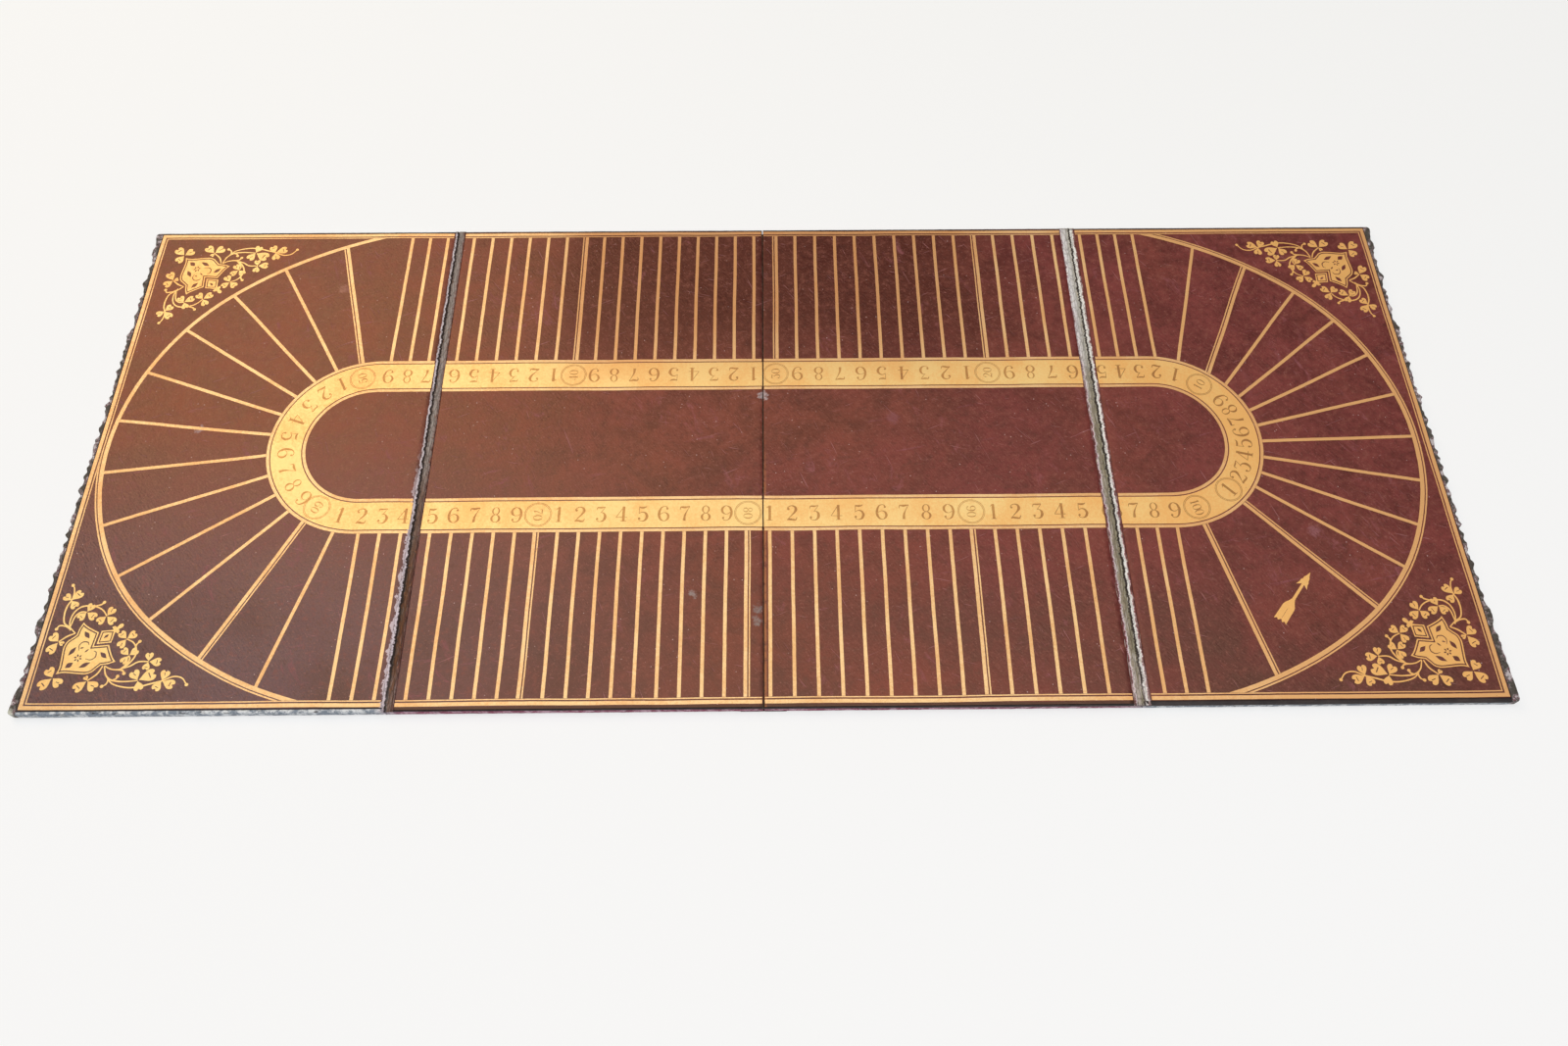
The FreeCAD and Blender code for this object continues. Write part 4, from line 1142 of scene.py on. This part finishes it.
def fray(point, normal, height):
    """How far the worn edge is rubbed away inwards, most at the free ends."""
    at_end = abs(normal.x)
    slow = ripple(point.x * 60, point.y * 60, 2.0)
    quick = ripple(point.x * 380, point.y * 380, height * 900)
    amount = EDGE_WEAR * (0.45 + 0.6 * slow + 0.55 * quick)
    if at_end > 0.2:
        bites = 0.6 * ripple(3.0, point.y * 118, 7.0) + 0.4 * ripple(9.0, point.y * 320, 7.0 + height * 60)
        layers = 0.12 * ripple(5.0, point.y * 700, height * 700)
        depth = END_LOSS + BITE_DEPTH * bites + LAYER_DEPTH * layers
        from_corner = 0.5 * BOARD_DEPTH - abs(point.y) - WHOLE_CORNER
        kept = NEAR_RIGHT_KEPT if point.x > 0 and point.y < 0 else CORNER_KEPT
        amount += max(0.0, depth) * min(1.0, max(0.0, from_corner / kept)) * at_end ** 2
    return max(0.0, min(DEEPEST_FRAY, amount))


def held(point, low_x, high_x, low_y, high_y):
    """The nearest point inside a rectangle."""
    return Vector((min(max(point.x, low_x), high_x), min(max(point.y, low_y), high_y)))


# Heights of the stations on the edge between its two arrises
EDGE_SHARES = (0.35, 0.5, 0.65)


def cover_section(place, under, inner):
    """Cross-section of the cover leather round an edge, as (point, how far drawn in, height)."""
    section = [(under, 0.0, 0.0), (place.lerp(under, 0.3), 0.0, 0.0)]
    section += [(place, drawn, z) for drawn, z in rounding(4)]
    section += [(place, 0.0, FACE_LEVEL * share) for share in EDGE_SHARES]
    section += [(place, drawn, FACE_LEVEL - down) for down, drawn in rounding(4)]
    return section + [(place.lerp(inner, 0.6), 0.0, FACE_LEVEL), (inner, 0.0, FACE_LEVEL),
                      (inner, 0.0, FACE_LEVEL - LEATHER)]


def cover_piece(leaf):
    """Cover leather of a leaf: its back, and its edges turned in over the rim of the face."""
    low, high = COVER_BOX[leaf]
    face_low, face_high = FACE_BOX[leaf]
    sides = SIDES[leaf]
    free_left, free_right = (side == "free" for side in sides)
    under_y = (low.y + UNDER_INSET, high.y - UNDER_INSET)
    verts, faces = [], []
    for path in edge_path(leaf):
        start = len(verts)
        for place, normal in path:
            inner = held(place, face_low.x if free_left else low.x, face_high.x if free_right else high.x,
                         face_low.y, face_high.y)
            under = held(place, low.x + UNDER_INSET * free_left, high.x - UNDER_INSET * free_right, *under_y)
            section = cover_section(place, under, inner)
            # All of the section wears but for its two ends, and the place next to its inner end by half
            worn = [0.0] * 2 + [1.0] * (len(section) - 5) + [0.5] + [0.0] * 2
            for share, (base, drawn, z) in zip(worn, section):
                spot = base - normal * (drawn + (fray(place, normal, z) * share if share else 0.0))
                verts.append((spot.x, spot.y, z))
        faces += grid_faces(len(path), len(section), start)
    start = len(verts)
    xs = stations(low.x + (UNDER_INSET if sides[0] != "face hinge" else 0),
                  high.x - (UNDER_INSET if sides[1] != "face hinge" else 0), UNDER_STEP)
    ys = stations(*under_y, UNDER_STEP)
    verts += [(x, y, 0.0) for y in ys for x in xs]
    faces += [face[::-1] for face in grid_faces(len(ys), len(xs), start)]
    for side, x in zip(sides, (low.x, high.x)):
        if side == "face hinge":
            faces.append(tuple(range(len(verts), len(verts) + 4)))
            verts += [(x, low.y, 0.0), (x, high.y, 0.0), (x, high.y, FACE_LEVEL - LEATHER),
                      (x, low.y, FACE_LEVEL - LEATHER)]
    made = new_object(leaf + "_cover", verts, faces, [cover_leather])
    dress(made, leaf, "cover_leather", leaf + "_back_cover")


def core_piece(leaf):
    """Millboard under the leather, rubbed away with its cover."""
    low, high = COVER_BOX[leaf]
    points = [p - n * (LEATHER + fray(p, n, 0.0)) for path in edge_path(leaf) for p, n in path]
    points = [held(p, low.x + LEATHER, high.x - LEATHER, low.y, high.y) for p in points]
    count = len(points)
    verts = [(p.x, p.y, z) for z in (LEATHER, FACE_LEVEL - LEATHER) for p in points]
    faces = [list(range(count))[::-1], list(range(count, 2 * count))]
    faces += [(i, (i + 1) % count, count + (i + 1) % count, count + i) for i in range(count)]
    made = new_object(leaf + "_core", verts, faces, [board_material], smooth_shaded=False)
    dress(made, leaf, "millboard", leaf + "_board")


HINGE_STEP = 0.0016
STRIP_STEP = 0.0005
BEND_REACH = 0.0005
BEND_STEP = 0.00009
# The back strip needs fine columns only this near its fold, and each strip's rims stray over as much
FOLD_REACH = 0.0015
RIM_REACH = 0.0015
RIM_THINNED = 0.0003
CREASE_DEPTH, CREASE_WIDTH = 0.00042, 0.00045
SHOULDER_PLACE, SHOULDER_WIDTH = 0.0011, 0.0006
GRAIN_HEIGHT = 0.00006
HIGHEST_LUMP = 0.00012


def hinge_columns(left, middle, right, is_face):
    """Places across a strip, close together where it bends."""
    columns = stations(left, middle - BEND_REACH, STRIP_STEP)
    columns += stations(middle - BEND_REACH, middle + BEND_REACH, BEND_STEP)[1:-1]
    columns += stations(middle + BEND_REACH, right, STRIP_STEP)
    if is_face:
        return columns
    return (stations(left, middle - FOLD_REACH, FOLD_REACH)[:-1]
            + [x for x in columns if abs(x - middle) < FOLD_REACH]
            + stations(middle + FOLD_REACH, right, FOLD_REACH)[1:])


def hinge_piece(joint, left_leaf, right_leaf, material, ragged, lump):
    """One strip of leather over a joint, creased where the leaves meet.

    The strip is a closed grid: its outer side runs left to right and its inner side back again.
    Its rims stray by the two ragged lengths, and lumps stand up beside its fold.
    """
    nodes = [f"{joint}_hinge_leather_on_{leaf}" for leaf in (left_leaf, right_leaf)]
    (low, left_high), (_right_low, high) = (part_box(node) for node in nodes)
    middle = JOINT_X["fold_" + joint]
    is_face = high.z > 0.5 * FACE_LEVEL
    columns = hinge_columns(low.x, middle, high.x, is_face)
    rows = stations(low.y, left_high.y, HINGE_STEP)
    outer, inner, up = (left_high.z, low.z, 1) if is_face else (low.z, left_high.z, -1)
    verts = []
    for y in rows:
        left_rag, right_rag = (ragged[0] * (ripple(seed, y * 190, 4) + 0.4 * ripple(seed + 1, y * 700, 4))
                               for seed in (1.0, 5.0))
        right_rag *= ragged[1] / ragged[0]
        for x in columns:
            at_left = max(0.0, 1 - (x - columns[0]) / RIM_REACH)
            at_right = max(0.0, 1 - (columns[-1] - x) / RIM_REACH)
            crease = math.exp(-((x - middle) / CREASE_WIDTH) ** 2)
            shoulder = math.exp(-((abs(x - middle) - SHOULDER_PLACE) / SHOULDER_WIDTH) ** 2)
            grain = ripple(x * 900, y * 260, 3) + 0.5 * ripple(x * 2100, y * 800, 3)
            height = lump * (0.6 + 0.4 * grain) * shoulder + GRAIN_HEIGHT * grain - CREASE_DEPTH * crease
            height = min(height, HIGHEST_LUMP) - RIM_THINNED * 0.5 * (at_left ** 4 + at_right ** 4)
            verts.append((x + left_rag * at_left + right_rag * at_right, y, outer + up * height))
        verts += [(x, y, inner) for x, _y, _z in verts[:-len(columns) - 1:-1]]
    width, half = 2 * len(columns), len(columns)
    faces = grid_faces(len(rows), width, closed=True)
    last = (len(rows) - 1) * width
    for column in range(half - 1):
        around = (column, column + 1, width - 2 - column, width - 1 - column)
        faces += [around[::-1], tuple(last + corner for corner in around)]
    if is_face:
        faces = [face[::-1] for face in faces]
    made = new_object(joint + "_hinge", verts, faces, [material])
    layer = made.data.uv_layers.new(name="flat")
    for loop in made.data.loops:
        layer.data[loop.index].uv = verts[loop.vertex_index][:2]
    height = (low.z + left_high.z) / 2
    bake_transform(made)
    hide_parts(*nodes)


def linen():
    """The linings stay CAD solids and only get their material."""
    for name, node in frame["nodes"].items():
        if "hinge_linen" in name:
            node.data.materials.clear()
            node.data.materials.append(linen_material)


FLOOR_GLOW = 0.55


def studio():
    """Pale floor that glows a little where it is seen, soft sky, a warm window and a front light."""
    bpy.ops.mesh.primitive_plane_add(size=12, location=(0, 0, 0))
    floor = bpy.context.object
    floor.name = "floor"
    s = Shader("floor", Roughness=0.9, Specular_IOR_Level=0.1)
    floor.data.materials.append(s.finish(Base_Color=srgb(247, 250, 255)))
    shade = s.tones(s.axis("Y"), -0.25, 0.45, (255, 255, 254), (251, 251, 248))
    shown = s.node("ShaderNodeEmission", Color=shade, Strength=1.0).outputs[0]
    seen = s.seen_by("Camera", "Glossy", "Transmission")
    s.show(s.times(seen, FLOOR_GLOW), s.surface.outputs[0], shown, "Material Output")
    sky()
    lamp("window", (-0.93, 0.98, 1.25), aim=(-0.15, 0.05, 0), size=(1.05, 0.85), power=7.6,
         colour=(1.0, 0.78, 0.54))
    lamp("soft_front", (0.5, -1.6, 2.2), aim=(0, 0, 0), size=(1.6, 1.6), power=18.0,
         colour=(1.0, 0.97, 0.93))


SKY_LOW, SKY_HIGH = 0.14, 1.8


def sky():
    """Soft light from above, darker towards the horizon; plain white where it is seen itself."""
    world = bpy.data.worlds.new("studio")
    bpy.context.scene.world = world
    world.use_nodes = True
    s = Nodes(world.node_tree, "Generated")
    upwards = s.range(s.axis("Z"), 0.76, 0.93, SKY_LOW, SKY_HIGH)
    strength = s.times(upwards, s.range(s.axis("X"), 0.2, 0.6, 1.0, 0.84))
    light = s.node("ShaderNodeBackground", Color=(1.0, 0.985, 0.96, 1), Strength=strength).outputs[0]
    white = s.node("ShaderNodeBackground", Color=srgb(250, 250, 247)).outputs[0]
    s.show(s.seen_by("Camera"), light, white, "World Output")


def lamp(name, place, aim, size, power, colour):
    """Rectangular lamp at a place, turned towards a point."""
    light = bpy.data.lights.new(name, "AREA")
    light.shape = "RECTANGLE"
    light.size, light.size_y = size
    light.energy = power
    light.color = colour
    made = bpy.data.objects.new(name, light)
    made.location = place
    made.rotation_euler = (Vector(aim) - Vector(place)).to_track_quat("-Z", "Y").to_euler()
    bpy.context.scene.collection.objects.link(made)


# Place in metres and turns in degrees that show the board as the photo does
CAMERA_PLACE = (0.00433, -0.3715, 0.59934)
CAMERA_TURNS = (28.1, -0.203, -0.61)
CAMERA_LENS = 27.03
CAMERA_SENSOR = 36


def camera():
    """The camera, and colours shown as they are."""
    data = bpy.data.cameras.new("camera")
    data.lens = CAMERA_LENS
    data.sensor_width = CAMERA_SENSOR
    made = bpy.data.objects.new("camera", data)
    made.location = CAMERA_PLACE
    made.rotation_euler = [math.radians(turn) for turn in CAMERA_TURNS]
    bpy.context.scene.collection.objects.link(made)
    bpy.context.scene.camera = made
    bpy.context.scene.view_settings.view_transform = "Standard"


gilding()
for leaf in LEAVES:
    face_piece(leaf)
    cover_piece(leaf)
    core_piece(leaf)
hinge_piece("left", "leaf_1", "leaf_2", left_strip, ragged=(0.0005, 0.0003), lump=0.0001)
hinge_piece("right", "leaf_3", "leaf_4", right_strip, ragged=(0.0005, 0.0005), lump=0.00012)
hinge_piece("centre", "leaf_2", "leaf_3", back_strip, ragged=(0.0003, 0.0003), lump=0.0)
linen()
studio()
camera()
